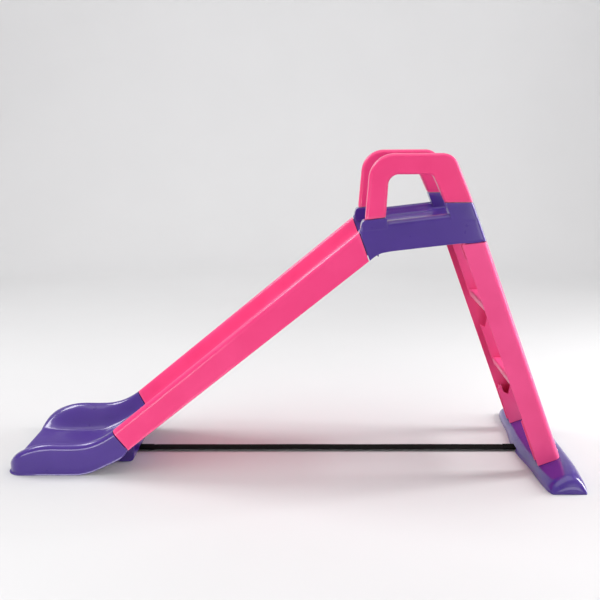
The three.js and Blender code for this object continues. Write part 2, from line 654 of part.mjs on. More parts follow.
function makeFoot(screwHoles) {
  let foot = footBody(0).subtract(footBody(WALL));
  // Hollow stubs inside the ladder's boxed ends.
  const stub = (d, s0, s1) => {
    const a = WALL + GAP + 0.2 + d;
    const b = STILE_DEPTH - WALL - GAP - 0.4 - d;
    const inn = STILE_IN + WALL + GAP + 0.2 + d;
    const out = HALF_W - WALL - GAP - 0.4 - d;
    const c = 8;
    return ladderPost([[a, inn], [b - 6, inn], [b, inn + 6], [b, out - c], [b - c, out], [a, out]], s0, s1);
  };
  bothSides(() => stub(0, -2, 52).subtract(stub(WALL, -4, 48))).forEach((s) => {
    foot = foot.add(s);
  });
  bothSides(() => stub(WALL, -30, 10)).forEach((s) => {
    foot = foot.subtract(s);
  });
  // Cheeks for the strap pin, inside the shell.
  const inside = footBody(1);
  [-30, 26].forEach((y) => {
    foot = foot.add(box(651, 690, y, y + 4, 1, 40).intersect(inside));
  });
  foot = foot.subtract(box(640, 662, -24, 24, -2, 13.5));
  foot = foot.subtract(rod([PIN_FOOT[0], -40, PIN_FOOT[1]], [PIN_FOOT[0], 40, PIN_FOOT[1]], PIN_R + GAP));
  return cutAll(foot, screwHoles);
}

// ---- Strap, pins and screws -------------------------------------------------------------------------

/** Webbing that runs between the pins, with a sewn loop round each of them. */
function makeStrap() {
  const inner = PIN_R + 0.35;
  const outer = inner + STRAP_T;
  const [x0, z0] = PIN_CHUTE;
  const [x1, z1] = PIN_FOOT;
  const circle = (cx, cz, r, a0, a1, n) => {
    const line = [];
    for (let i = 0; i <= n; i += 1) {
      const a = a0 + ((a1 - a0) * i) / n;
      line.push([cx + r * Math.cos(a), cz + r * Math.sin(a)]);
    }
    return line;
  };
  const open = 0.42;
  const low = z0 - STRAP_T / 2;
  const outline = [
    ...circle(x0, z0, outer, open, 2 * Math.PI - open, 16),
    [x0 + 12, low - 1], [x0 + 48, low - 1], [x0 + 50, low],
    [x1 - 50, low], [x1 - 48, low - 1], [x1 - 12, low - 1],
    ...circle(x1, z1, outer, Math.PI + open, 3 * Math.PI - open, 16),
    [x1 - 12, low + 3], [x1 - 48, low + 3], [x1 - 50, low + 2],
    [x0 + 50, low + 2], [x0 + 48, low + 3], [x0 + 12, low + 3],
  ];
  const lastTurn = 2 * Math.PI * (15 / 16);
  const eyes = [circle(x0, z0, inner, 0, lastTurn, 15), circle(x1, z1, inner, 0, lastTurn, 15)];
  return slab(outline, -STRAP_W / 2, STRAP_W / 2, eyes);
}

/** A pan-head screw: seat is the face under the head, axis points from head to tip. */
function screwGeometry() {
  const points = [
    [0, -SCREW_HEAD_T], [SCREW_HEAD_R * 0.7, -SCREW_HEAD_T], [SCREW_HEAD_R, -SCREW_HEAD_T * 0.5],
    [SCREW_HEAD_R, 0], [SCREW_R, 0], [SCREW_R, SCREW_LEN - 3], [0, SCREW_LEN],
  ];
  return new THREE.LatheGeometry(points.map(([r, h]) => new THREE.Vector2(r, h)), 9);
}

const ladderPoint = (p, y, s) => new THREE.Vector3(p, y, s).applyMatrix4(LADDER_FRAME).toArray();
const ladderIn = new THREE.Vector3(-1, 0, 0).transformDirection(LADDER_FRAME).toArray();
const SEAT = 0.15; // clearance under a screw head

const SCREWS = [];
[[-1, 'left'], [1, 'right']].forEach(([side, word]) => {
  const y = side * 177;
  const seatAt = (along) => ladderPoint(STILE_DEPTH + SEAT, y, along);
  SCREWS.push({ name: `screw_foot_${word}_lower`, at: seatAt(16), axis: ladderIn });
  SCREWS.push({ name: `screw_foot_${word}_upper`, at: seatAt(38), axis: ladderIn });
  SCREWS.push({ name: `screw_platform_${word}`, at: seatAt(672), axis: ladderIn });
  SCREWS.push({ name: `screw_handrail_rear_${word}`, at: seatAt(736), axis: ladderIn });
  SCREWS.push({
    name: `screw_handrail_front_${word}`,
    at: [226, side * (COLUMN_IN - SEAT), 668],
    axis: [0, side, 0],
  });
});

function holeFor(screw, r = HOLE_R) {
  const a = new THREE.Vector3(...screw.at);
  const d = new THREE.Vector3(...screw.axis);
  const start = a.clone().addScaledVector(d, -6);
  const end = a.clone().addScaledVector(d, SCREW_LEN + 1.5);
  return rod(start.toArray(), end.toArray(), r, 10);
}

const holesNamed = (part) => SCREWS.filter((s) => s.name.includes(part)).map((s) => holeFor(s));

// ---- Plugs and sockets of the handrails ----------------------------------------------------------------

const frontPlug = () => slab([[208, 660], [246, 660], [246, 700], [208, 700]], RAIL_IN + 3.5, RAIL_OUT - 5);
const FRONT_BORE = [[211.5, 655], [242.5, 655], [242.5, 705], [211.5, 705]];
const frontBore = () => slab(FRONT_BORE, RAIL_IN + 7, RAIL_OUT - 8.5);
const rearPlug = () => slab([[430, 714], [477.8, 714], [469, 738], [412, 738]], RAIL_IN + 4, RAIL_OUT - 5);
const rearBore = () => slab([[440, 710], [475, 710], [463, 742], [418, 742]], RAIL_IN + 7.5, RAIL_OUT - 8.5);
const grow = (x0, x1, z0, z1) => box(x0, x1, RAIL_IN + 3.2, RAIL_OUT - 4.7, z0, z1);

// ---- Assembly ----------------------------------------------------------------------------------------

const slide = new THREE.Group();

function place(name, look, geometry) {
  const mesh = new THREE.Mesh(geometry, new THREE.MeshStandardMaterial(look));
  mesh.name = name;
  slide.add(mesh);
  return mesh;
}

const platformHoles = [...holesNamed('platform'), ...holesNamed('handrail')];
const platform = makePlatform(
  bothSides(() => grow(207.7, 246.3, 676, 705)),
  bothSides(() => grow(411, 473.4, 722, 740)),
  platformHoles,
);

const seamLine = slab([[430, 624.6], [530, 635.8], [530, 760], [430, 760]], -230, 230);
place('upper_chute', PINK, geometryOf(makeUpperChute()));
place('lower_chute', PURPLE, geometryOf(makeLowerChute()));
place('platform', PURPLE, geometryOf(platform));
[[1, 'right'], [-1, 'left']].forEach(([side, word]) => {
  const holes = holesNamed(`handrail_front_${word}`).concat(holesNamed(`handrail_rear_${word}`));
  const flip = (solid) => (side > 0 ? solid : solid.mirror([0, 1, 0]));
  const bar = flip(makeHandrail([frontPlug(), rearPlug()], [frontBore(), rearBore()]));
  place(`handrail_${word}`, PINK, geometryOf(cutAll(bar, holes)));
});
const ladderHoles = [...holesNamed('foot'), ...holesNamed('screw_platform')];
place('ladder', PINK, geometryOf(makeLadder(seamLine, ladderHoles)));
place('foot', PURPLE, geometryOf(makeFoot(holesNamed('foot'))));
place('spreader_strap', BLACK, geometryOf(makeStrap()));
place('strap_pin_chute', STEEL, geometryOf(rod(
  [PIN_CHUTE[0], -PIN_LEN / 2, PIN_CHUTE[1]],
  [PIN_CHUTE[0], PIN_LEN / 2, PIN_CHUTE[1]],
  PIN_R,
  16,
)));
place('strap_pin_foot', STEEL, geometryOf(rod(
  [PIN_FOOT[0], -PIN_LEN / 2, PIN_FOOT[1]],
  [PIN_FOOT[0], PIN_LEN / 2, PIN_FOOT[1]],
  PIN_R,
  16,
)));
const screwShape = screwGeometry();
SCREWS.forEach((screw) => {
  const mesh = place(screw.name, STEEL, screwShape);
  mesh.position.fromArray(screw.at);
  mesh.quaternion.setFromUnitVectors(new THREE.Vector3(0, 1, 0), new THREE.Vector3(...screw.axis));
});

export default slide;
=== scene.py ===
"""Looks of the toddler slide: every moulding, the webbing strap and its hardware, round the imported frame.

Lengths are millimetres in the part's own frame until a mesh is made: +X runs from the chute's mouth to the
ladder, +Z is up, and the middle plane is Y = 0. Left is -Y, as seen from the deck down the chute.
"""

import math

import bpy
import numpy as np
from mathutils import Matrix


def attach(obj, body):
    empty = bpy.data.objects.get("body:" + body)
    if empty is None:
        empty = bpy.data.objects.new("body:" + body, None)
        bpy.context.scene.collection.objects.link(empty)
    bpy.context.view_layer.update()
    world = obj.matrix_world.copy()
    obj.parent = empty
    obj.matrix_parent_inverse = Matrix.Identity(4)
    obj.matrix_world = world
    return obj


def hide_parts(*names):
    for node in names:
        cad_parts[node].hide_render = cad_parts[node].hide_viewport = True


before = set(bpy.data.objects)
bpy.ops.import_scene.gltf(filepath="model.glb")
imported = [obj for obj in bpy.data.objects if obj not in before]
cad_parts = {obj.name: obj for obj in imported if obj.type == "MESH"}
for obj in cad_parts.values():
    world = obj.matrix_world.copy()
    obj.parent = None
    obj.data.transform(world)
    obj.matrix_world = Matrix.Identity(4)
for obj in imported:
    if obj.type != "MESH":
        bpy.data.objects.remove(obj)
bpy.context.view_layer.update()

MM = 0.001
HALF_W = 200.0  # half width of chute, deck and ladder
WALL = 3.5  # moulded wall
GAP = 0.3  # clearance at the joints
PLUG_GAP = 3.0  # clearance between a tongue and the wall it plugs into
SEAM = 1.3  # distance from each skin to its joint plane, which leaves a dark line
RIM = 15.0  # radius of the rolled rim
RIM_FLAT = 7.0  # level crest inside the rim's roll
BED_HALF = 140.0  # half width of the flat bed
CHUTE_DEPTH = 42.0  # bed below the rim's crest on the chute
CHUTE_FACES = (-0.6, 0, 0.8)  # roughly the way the chute's bed faces
POST_IN = 154.0  # inner face of the deck's posts and of the ladder's rails
TILT = math.radians(20.25)  # lean of the ladder
SEAM_LOW = np.array([-475.5, 121.5])  # rim crest at the joint of the two chute pieces
SEAM_TOP = np.array([184.5, 660.0])  # rim crest at the joint of chute and deck
SLOPE = math.atan2(SEAM_TOP[1] - SEAM_LOW[1], SEAM_TOP[0] - SEAM_LOW[0])
UPHILL = np.array([math.cos(SLOPE), math.sin(SLOPE)])
SQUARE = np.array([math.sin(SLOPE), -math.cos(SLOPE)])  # into the chute, square to the slope
MITRE = math.radians(19.6)  # lean of the joint plane between chute and deck
MITRE_DOWN = np.array([math.sin(MITRE), -math.cos(MITRE)]) / math.cos(SLOPE - MITRE)


# ---- Curves


def unit(v):
    """Each vector divided by its length."""
    return v / np.maximum(np.linalg.norm(v, axis=-1, keepdims=True), 1e-12)


def smooth(knots, rows, at):
    """Cubic through the rows. The slope at a row is the harmonic mean of the two chords that meet there, and
    level where they turn, so the curve never swings past a row."""
    k = np.asarray(knots, float)
    v = np.asarray(rows, float).reshape(len(k), -1)
    h = np.diff(k)[:, None]
    chord = np.diff(v, axis=0) / h
    slope = np.zeros_like(v)
    same = chord[:-1] * chord[1:] > 0
    total = np.where(same, chord[:-1] + chord[1:], 1)
    slope[1:-1] = np.where(same, 2 * chord[:-1] * chord[1:] / total, 0)
    slope[0], slope[-1] = chord[0], chord[-1]
    at = np.asarray(at, float)
    i = np.clip(np.searchsorted(k, at, side="right") - 1, 0, len(k) - 2)
    t = ((at - k[i]) / h[i, 0])[:, None]
    a = (1 + 2 * t) * (1 - t) ** 2 * v[i] + t * t * (3 - 2 * t) * v[i + 1]
    return a + h[i] * (t * (1 - t) ** 2 * slope[i] - t * t * (1 - t) * slope[i + 1])


def lengths(points):
    """Distance along a row of points, from its first."""
    steps = np.linalg.norm(np.diff(np.asarray(points, float), axis=0), axis=1)
    return np.concatenate([[0], np.cumsum(steps)])


def filleted(corners, radii, on_line, on_arc):
    """An open line through the corners, each inner corner replaced by an arc that touches both of its sides.
    Every line gets on_line points and every arc on_arc, so two such lines pair up point by point."""
    c = np.asarray(corners, float)
    out, start = [], c[0]
    for i, r in enumerate(radii, 1):
        e, f = unit(c[i - 1] - c[i]), unit(c[i + 1] - c[i])
        half = math.acos(np.clip(e @ f, -1, 1)) / 2
        first, last = c[i] + e * r / math.tan(half), c[i] + f * r / math.tan(half)
        centre = c[i] + unit(e + f) * r / math.sin(half)
        a0 = math.atan2(*(first - centre)[::-1])
        turn = math.atan2(*(last - centre)[::-1]) - a0
        turn = (turn + math.pi) % (2 * math.pi) - math.pi
        out.append(start + (first - start) * np.linspace(0, 1, on_line, endpoint=False)[:, None])
        a = a0 + turn * np.linspace(0, 1, on_arc, endpoint=False)
        out.append(centre + r * np.stack([np.cos(a), np.sin(a)], -1))
        start = last
    out.append(start + (c[-1] - start) * np.linspace(0, 1, on_line)[:, None])
    return np.vstack(out)


def offset(line, by):
    """A closed outline moved inwards by the given amount at each point, along the mitre of its two sides."""
    before, after = np.roll(line, 1, 0), np.roll(line, -1, 0)
    area = (line[:, 0] * after[:, 1] - after[:, 0] * line[:, 1]).sum()
    e, f = unit(line - before), unit(after - line)
    m = np.sign(area) * np.stack([-(e[:, 1] + f[:, 1]), e[:, 0] + f[:, 0]], -1)
    reach = np.asarray(by) / np.maximum(0.35, 0.5 * (m**2).sum(1))
    return line + m * reach[:, None]


# ---- Surfaces: a part is (points, quads, other faces)


def quads_of(rows, cols, wrap=False):
    """Faces of a grid of points, a quad per cell, closed across its columns if wrap is set."""
    i, j = np.meshgrid(np.arange(rows - 1), np.arange(cols if wrap else cols - 1), indexing="ij")
    k = (j + 1) % cols
    return np.stack([i * cols + j, (i + 1) * cols + j, (i + 1) * cols + k, i * cols + k], -1).reshape(-1, 4)


def normals(grid):
    """Unit normals of a grid: the cross product of its slopes, or the next cell's where one has no area."""
    n = np.cross(np.gradient(grid, axis=0), np.gradient(grid, axis=1))
    i, j = np.meshgrid(*[np.clip(np.arange(s), 1, s - 2) for s in grid.shape[:2]], indexing="ij")
    weak = np.linalg.norm(n, axis=-1) < 1e-7
    n[weak] = n[i, j][weak]
    return unit(n)


def ruled(ends, count):
    """Evenly spaced sections along the straight lines that join two sections point by point."""
    t = np.linspace(0, 1, count)[:, None, None]
    return ends[0] * (1 - t) + ends[1] * t


def shell(grid, facing, edges=(1.1, 1.1, 1.1, 1.1)):
    """A moulded wall: the grid is its outer skin, the inner skin lies one wall below it along the normals,
    and a half-round edge joins them all round. edges are its depths at the first row, last row, first column
    and last column; 0 makes a square end for a butt joint."""
    grid = np.asarray(grid, float)
    n = normals(grid)
    edges = list(edges)
    if (n @ np.asarray(facing, float)).sum() < 0:
        grid, n = grid[:, ::-1], -n[:, ::-1]
        edges[2], edges[3] = edges[3], edges[2]
    rows, cols = grid.shape[:2]
    there, back = np.arange(cols), np.arange(rows - 2, 0, -1)
    i = np.concatenate([0 * there, np.arange(1, rows), np.full(cols - 1, rows - 1), back])
    j = np.concatenate([there, np.full(rows - 1, cols - 1), there[-2::-1], 0 * back])
    at, nb = grid[i, j], n[i, j]
    out = at - grid[np.clip(i, 1, rows - 2), np.clip(j, 1, cols - 2)]
    out = unit(out - nb * (out * nb).sum(1, keepdims=True))
    depth = np.full(len(i), 9.0)
    for side, here in zip(edges, (i == 0, i == rows - 1, j == 0, j == cols - 1)):
        depth = np.where(here, np.minimum(depth, side), depth)
    turn = np.linspace(0, np.pi, 7)[:, None, None]
    rings = at + out * depth[:, None] * (np.sin(turn) - 1) - nb * WALL * (1 - np.cos(turn)) / 2
    outer, inner = grid.copy(), grid - n * WALL
    outer[i, j], inner[i, j] = rings[0], rings[-1]
    size, loop = rows * cols, len(i)
    points = np.vstack([outer.reshape(-1, 3), inner.reshape(-1, 3), rings[1:-1].reshape(-1, 3)])
    skin = quads_of(rows, cols)
    ids = [i * cols + j, *[2 * size + k * loop + np.arange(loop) for k in range(5)], size + i * cols + j]
    strips = [np.stack([a, np.roll(a, -1), np.roll(b, -1), b], -1) for a, b in zip(ids, ids[1:])]
    return points, np.vstack([skin, skin[:, ::-1] + size, *strips]), []


def tube(rings):
    """Closed rings of equal length joined in a row, each end closed with one flat face."""
    rings = np.asarray(rings, float)
    rows, cols = rings.shape[:2]
    last = (rows - 1) * cols
    ends = [list(range(cols)), list(range(last + cols - 1, last - 1, -1))]
    return rings.reshape(-1, 3), quads_of(rows, cols, wrap=True), ends


def upright(a, depth, b):
    """Place an outline in the X-Z plane and its depth along Y."""
    return np.stack(np.broadcast_arrays(a, depth, b), -1)


def level(a, depth, b):
    """Place an outline in the X-Y plane and its depth along Z."""
    return np.stack(np.broadcast_arrays(a, b, depth), -1)


def crosswise(a, depth, b):
    """Place an outline in the Y-Z plane and its depth along X."""
    return np.stack(np.broadcast_arrays(depth, a, b), -1)


def plate(outline, low, high, place=upright, edge=0.9, held=None):
    """A flat moulding: its outline carried from low to high, drawn in near both faces by a quarter circle of
    radius edge. held marks points that aren't drawn in."""
    line = np.asarray(outline, float)
    give = np.where(np.zeros(len(line), bool) if held is None else held, 0.0, 1.0)
    turn = np.linspace(0, np.pi / 2, 5)
    steps = [(low + edge * (1 - math.cos(a)), edge * (1 - math.sin(a))) for a in turn]
    steps += [(high - (z - low), by) for z, by in reversed(steps)]
    rings = []
    for depth, by in steps:
        drawn = offset(line, by * give)
        rings.append(place(drawn[:, 0], depth, drawn[:, 1]))
    return tube(rings)


def mirrored(part):
    """The same part on the other side of the middle plane."""
    points, quads, others = part
    return points * [1, -1, 1], quads[:, ::-1], [f[::-1] for f in others]


def both(parts):
    """The parts and their mirror images."""
    return [*parts, *[mirrored(p) for p in parts]]


def tidy_faces(part):
    """Merge points that coincide, drop the faces that this leaves without area, and turn the faces outwards,
    which makes their signed volume positive."""
    points, quads, others = part
    _, first, back = np.unique(np.round(points, 4), axis=0, return_index=True, return_inverse=True)
    back = back.reshape(-1)
    points, quads = points[first], back[quads]
    flat = (np.sort(quads, axis=1)[:, 1:] == np.sort(quads, axis=1)[:, :-1]).any(axis=1)
    faces = quads[~flat].tolist()
    for f in [*quads[flat].tolist(), *[back[o].tolist() for o in others]]:
        f = [v for v, w in zip(f, f[-1:] + f[:-1]) if v != w]
        if len(f) > 2 and len(set(f)) == len(f):
            faces.append(f)
    q = quads[~flat]
    centre = points.mean(axis=0)
    p = points - centre
    volume = (p[q[:, 0]] * (np.cross(p[q[:, 1]], p[q[:, 2]]) + np.cross(p[q[:, 2]], p[q[:, 3]]))).sum()
    for o in faces[len(q):]:
        a = p[o]
        volume += (a[0] * np.cross(a[1:-1], a[2:]).sum(axis=0)).sum()
    if volume < 0:
        faces = [f[::-1] for f in faces]
    return points, faces


SHARP_DEGREES = 38  # faces that meet at more than this keep a crease


def make(name, parts, material, nodes, uv=None):
    """One object from several closed parts: joined, cut level with the floor, smooth across its roundings,
    riding on the frame."""
    points, faces, count = [], [], 0
    for part in parts:
        p, f = tidy_faces(part)
        points.append(p)
        faces += [[v + count for v in face] for face in f]
        count += len(p)
    points = np.vstack(points)
    points[:, 2] = np.maximum(points[:, 2], 0)
    mesh = bpy.data.meshes.new(name)
    mesh.from_pydata((points * MM).tolist(), [], faces)
    mesh.materials.append(material)
    mesh.polygons.foreach_set("use_smooth", np.ones(len(mesh.polygons), bool))
    mesh.set_sharp_from_angle(angle=math.radians(SHARP_DEGREES))
    if uv is not None:
        corner = np.empty(len(mesh.loops), np.int32)
        mesh.loops.foreach_get("vertex_index", corner)
        layer = mesh.uv_layers.new(name="surface")
        layer.data.foreach_set("uv", uv(points)[corner].astype(np.float32).ravel())
    mesh.update()
    piece = bpy.data.objects.new(name, mesh)
    bpy.context.scene.collection.objects.link(piece)
    evened = piece.modifiers.new("even_normals", "WEIGHTED_NORMAL")
    evened.keep_sharp = True
    evened.weight = 60
    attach(piece, "root")
    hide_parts(*nodes)
    return piece


# ---- Materials


def linear(code):
    """sRGB hex to linear colour: c / 12.92 below 0.04045, else ((c + 0.055) / 1.055) to the power 2.4."""
    c = np.array([int(code[i : i + 2], 16) for i in (1, 3, 5)]) / 255
    c = np.where(c <= 0.04045, c / 12.92, ((c + 0.055) / 1.055) ** 2.4)
    return (*c.tolist(), 1.0)


def add(tree, kind, inputs=None, **settings):
    """Add one node. inputs maps each socket to a constant, to another node's output, or to a node, which
    stands for its first output in use."""
    node = tree.nodes.new("ShaderNode" + kind)
    for key, value in settings.items():
        setattr(node, key, value)
    for socket, value in (inputs or {}).items():
        if isinstance(value, bpy.types.Node):
            value = next(out for out in value.outputs if out.enabled)
        if isinstance(value, bpy.types.NodeSocket):
            tree.links.new(value, node.inputs[socket])
        else:
            node.inputs[socket].default_value = value
    return node


def new_material(name):
    """An empty node material and its tree."""
    material = bpy.data.materials.new(name)
    material.use_nodes = True
    material.node_tree.nodes.clear()
    return material, material.node_tree


def moulded_polypropylene(name, base, deep, edge_highlight_colour, rough, skin, rub_turn=None):
    """Injection-moulded polypropylene, coloured through. Out of a polished mould it is glossy, with pigment
    clouds 120 mm across, sink waves of 45 mm and an orange peel that bend the highlights, a painted highlight
    that turns sharp convex edges paler, and, where children slide or step, rub marks that dull the gloss.
    Orange peel is 1 mm on the real surface and drawn at 3 mm to show."""
    material, tree = new_material(name)
    place = add(tree, "TexCoord").outputs["Object"]
    clouds = add(tree, "TexNoise", {"Vector": place, "Scale": 1 / 0.12, "Detail": 3.0, "Roughness": 0.55})
    amount = add(tree, "MapRange", {"Value": clouds, "From Min": 0.3, "From Max": 0.7})
    colour = add(tree, "Mix", {"Factor": amount, "A": linear(deep), "B": linear(base)}, data_type="RGBA")
    # Painted highlight: where pointiness marks a sharp convex edge, the colour is mixed towards the pale edge
    # colour.
    point = add(tree, "NewGeometry").outputs["Pointiness"]
    painted_edge_highlight = add(tree, "MapRange", {"Value": point, "From Min": 0.52, "From Max": 0.6, "To Max": 0.35})
    edge_highlit_colour = add(tree, "Mix", {"Factor": painted_edge_highlight, "A": colour, "B": linear(edge_highlight_colour)}, data_type="RGBA")
    # Haze of handling, 30 mm across, and fine rub marks 1.6 mm wide and 160 mm long down the line of wear.
    haze = add(tree, "TexNoise", {"Vector": place, "Scale": 1 / 0.03, "Detail": 4.0, "Roughness": 0.6})
    dullness = add(tree, "MapRange", {"Value": haze, "From Min": 0.3, "From Max": 0.7,
                                      "To Min": rough - 0.03, "To Max": rough + 0.04})
    clear = skin
    if rub_turn is not None:
        turned = add(tree, "Mapping", {"Vector": place, "Rotation": (0.0, rub_turn, 0.0),
                                       "Scale": (0.16, 0.0016, 0.0016)}, vector_type="TEXTURE")
        marks = add(tree, "TexNoise", {"Vector": turned, "Scale": 1.0, "Detail": 2.0})
        rubbed = add(tree, "MapRange", {"Value": marks, "From Min": 0.6, "From Max": 0.72, "To Max": 0.04})
        scuffed = add(tree, "Math", {0: dullness, 1: rubbed}, operation="ADD")
        # What faces straight up from the line of wear is dulled all over and has lost its skin.
        normal = add(tree, "NewGeometry").outputs["Normal"]
        worn_way = (math.sin(rub_turn), 0.0, math.cos(rub_turn))
        faces = add(tree, "VectorMath", {0: normal, 1: worn_way}, operation="DOT_PRODUCT").outputs["Value"]
        dull = add(tree, "MapRange", {"Value": faces, "From Min": 0.9, "From Max": 0.97, "To Max": 0.2})
        dullness = add(tree, "Math", {0: scuffed, 1: dull}, operation="ADD")
        clear = add(tree, "MapRange", {"Value": faces, "From Min": 0.9, "From Max": 0.97, "To Min": skin,
                                       "To Max": 0.05})
    waves = add(tree, "TexNoise", {"Vector": place, "Scale": 1 / 0.045, "Detail": 1.0})
    peel = add(tree, "TexNoise", {"Vector": place, "Scale": 1 / 0.003, "Detail": 2.0})
    sunk = add(tree, "Bump", {"Height": waves, "Strength": 0.05, "Distance": 0.0006})
    peeled = add(tree, "Bump", {"Height": peel, "Strength": 0.02, "Distance": 0.00012, "Normal": sunk})
    shader = add(tree, "BsdfPrincipled", {"Base Color": edge_highlit_colour, "Roughness": dullness, "IOR": 1.49,
                                          "Specular IOR Level": 0.3, "Coat Weight": clear,
                                          "Coat Roughness": 0.09, "Normal": peeled})
    add(tree, "OutputMaterial", {"Surface": shader})
    return material


def woven_webbing(name):
    """Woven polypropylene webbing, dyed black: matt with a faint sheen, a herringbone of flat yarns 1.8 mm
    apart, drawn at 2.6 mm so that it shows. UV is millimetres across and along the strap."""
    material, tree = new_material(name)
    place = add(tree, "TexCoord").outputs["UV"]
    split = add(tree, "SeparateXYZ", {"Vector": place})
    # Herringbone: the yarns' slant turns over every 10 mm across the strap.
    fold = add(tree, "Math", {0: split.outputs["X"], 1: 10.0}, operation="PINGPONG")
    slant = add(tree, "Math", {0: split.outputs["Y"], 1: fold}, operation="ADD")
    yarn = add(tree, "Math", {0: slant, 1: 2 * math.pi / 2.6}, operation="MULTIPLY")
    rise = add(tree, "Math", {0: yarn}, operation="SINE")
    warp = add(tree, "Math", {0: split.outputs["X"], 1: 2 * math.pi / 1.25}, operation="MULTIPLY")
    thread = add(tree, "Math", {0: warp}, operation="SINE")
    weave = add(tree, "Math", {0: thread, 1: 0.35, 2: rise}, operation="MULTIPLY_ADD")
    tone = add(tree, "MapRange", {"Value": weave, "From Min": -1.3, "From Max": 1.3})
    lint = add(tree, "TexNoise", {"Vector": place, "Scale": 0.12, "Detail": 4.0})
    worn = add(tree, "Math", {0: tone, 1: lint}, operation="MULTIPLY")
    colour = add(tree, "Mix", {"Factor": worn, "A": linear("#020101"), "B": linear("#0d0a09")},
                 data_type="RGBA")
    matt = add(tree, "MapRange", {"Value": lint, "To Min": 0.72, "To Max": 0.92})
    bump = add(tree, "Bump", {"Height": weave, "Strength": 0.6, "Distance": 0.00035})
    shader = add(tree, "BsdfPrincipled", {"Base Color": colour, "IOR": 1.49, "Roughness": matt,
                                          "Sheen Weight": 0.01, "Specular IOR Level": 0.05, "Normal": bump})
    add(tree, "OutputMaterial", {"Surface": shader})
    return material


def zinc_plate(name):
    """Bright zinc on drawn steel: a cool, slightly cloudy metal with fine drawing lines 0.4 mm apart."""
    material, tree = new_material(name)
    place = add(tree, "TexCoord").outputs["Object"]
    cloud = add(tree, "TexNoise", {"Vector": place, "Scale": 1 / 0.006, "Detail": 3.0})
    colour = add(tree, "Mix", {"Factor": cloud, "A": linear("#a9adb4"), "B": linear("#d3d5d6")},
                 data_type="RGBA")
    stretched = add(tree, "Mapping", {"Vector": place, "Scale": (0.0004, 0.008, 0.0004)},
                    vector_type="TEXTURE")
    lines = add(tree, "TexNoise", {"Vector": stretched, "Scale": 1.0, "Detail": 2.0})
    rough = add(tree, "MapRange", {"Value": lines, "To Min": 0.22, "To Max": 0.46})
    bump = add(tree, "Bump", {"Height": lines, "Strength": 0.3, "Distance": 0.00004})
    shader = add(tree, "BsdfPrincipled", {"Base Color": colour, "Metallic": 1.0, "Roughness": rough,
                                          "Normal": bump})
    add(tree, "OutputMaterial", {"Surface": shader})
    return material


# Base and deep colour, painted edge highlight colour, roughness and weight of the clear moulded skin.
PINK = ("#f43f82", "#ee357a", "#ff8bb4", 0.36, 0.35)
PURPLE = ("#47278b", "#402282", "#8f76c4", 0.3, 0.75)
pink_slide = moulded_polypropylene("pink_polypropylene_rubbed_by_sliding", *PINK, rub_turn=-SLOPE)
pink_gloss = moulded_polypropylene("pink_polypropylene_polished_mould", *PINK)
# Ladder pink: rubbed by shoes, so rougher and with less clear skin; its base and deep colours are paler than
# PINK, partly dulled wear and partly a painted reflection of the light its webs catch.
PINK_WORN_PAINTED_REFLECTION = ("#f14f8d", "#e94684", "#ff8bb4", 0.45, 0.12)
pink_tread = moulded_polypropylene("pink_polypropylene_rubbed_painted_reflection", *PINK_WORN_PAINTED_REFLECTION, rub_turn=0.0)
purple_gloss = moulded_polypropylene("violet_polypropylene_polished_mould", *PURPLE)
purple_floor = moulded_polypropylene("violet_polypropylene_rubbed_by_shoes", *PURPLE, rub_turn=0.0)
webbing = woven_webbing("black_polypropylene_webbing")
zinc = zinc_plate("zinc_plated_steel")


# ---- The channel that chute and deck share


SKIRT_STEPS = np.array([0, 0.035, 0.07, 0.2, 0.36, 0.52, 0.68, 0.84, 1])  # heights of the skirt's rows
LIP = 1.6  # how far the skirt's foot flares outwards


def channel(crest, down, skirt, depth, w=HALF_W, rim=RIM, bed_half=BED_HALF):
    """The channel's outer skin through a row of stations. Half of a section runs up the skirt from a small
    lip, over a quarter circle of radius rim and a level crest, down half a cosine wave to the bed, and level
    to the middle. Heights are carried from the crest against the station's down vector."""
    w, rim, bed_half, skirt, depth = [np.broadcast_to(np.asarray(v, float), (len(crest),))[:, None]
                                      for v in (w, rim, bed_half, skirt, depth)]
    t = [SKIRT_STEPS[None, :], *[np.linspace(0, 1, n)[None, :] for n in (10, 4, 17, 13)]]
    roll = t[1] * np.pi / 2
    inner = w - rim - RIM_FLAT
    y = [w + LIP * np.clip(1 - t[0] / SKIRT_STEPS[2], 0, 1), w - rim * (1 - np.cos(roll)),
         w - rim - RIM_FLAT * t[2], inner + (bed_half - inner) * t[3], bed_half * (1 - t[4])]
    h = [(skirt - rim) * t[0] - skirt, -rim * (1 - np.sin(roll)), 0 * t[2] + 0 * w,
         -depth * (1 - np.cos(np.pi * t[3])) / 2, -depth + 0 * t[4]]
    y = np.hstack([y[0], *[v[:, 1:] for v in y[1:]]])
    h = np.hstack([h[0], *[v[:, 1:] for v in h[1:]]])
    y, h = np.hstack([y, -y[:, -2::-1]]), np.hstack([h, h[:, -2::-1]])
    crest, down = np.asarray(crest, float), np.asarray(down, float)
    return np.stack([crest[:, :1] - down[:, :1] * h, y, crest[:, 1:] - down[:, 1:] * h], -1)


def lean(degrees):
    """The down vector of a section that leans by this many degrees."""
    a = np.radians(degrees)
    return np.stack([np.sin(a), -np.cos(a)], -1)


def cross_rib(crest, down, skirt, depth, low, high, along):
    """A 3 mm rib: the part of a section's underside that lies between two depths under the crest."""
    section = channel([crest], [down], skirt, depth)[0]
    h = (section[:, 0] - crest[0]) * down[0] + (section[:, 2] - crest[1]) * down[1]
    h = h / (down[0] ** 2 + down[1] ** 2)
    inside = np.abs(section[:, 1]) < HALF_W - 1.5
    y, top = section[inside, 1], np.maximum(h[inside] + 1.8, high)
    line = np.vstack([np.stack([y, top], -1), [[y[-1], low], [y[0], low]]])

    def place(a, depth_along, b):
        x, z = (crest[k] + down[k] * b + along[k] * depth_along for k in (0, 1))
        return np.stack(np.broadcast_arrays(x, a, z), -1)

    return plate(line, -1.5, 1.5, place, edge=0.5)


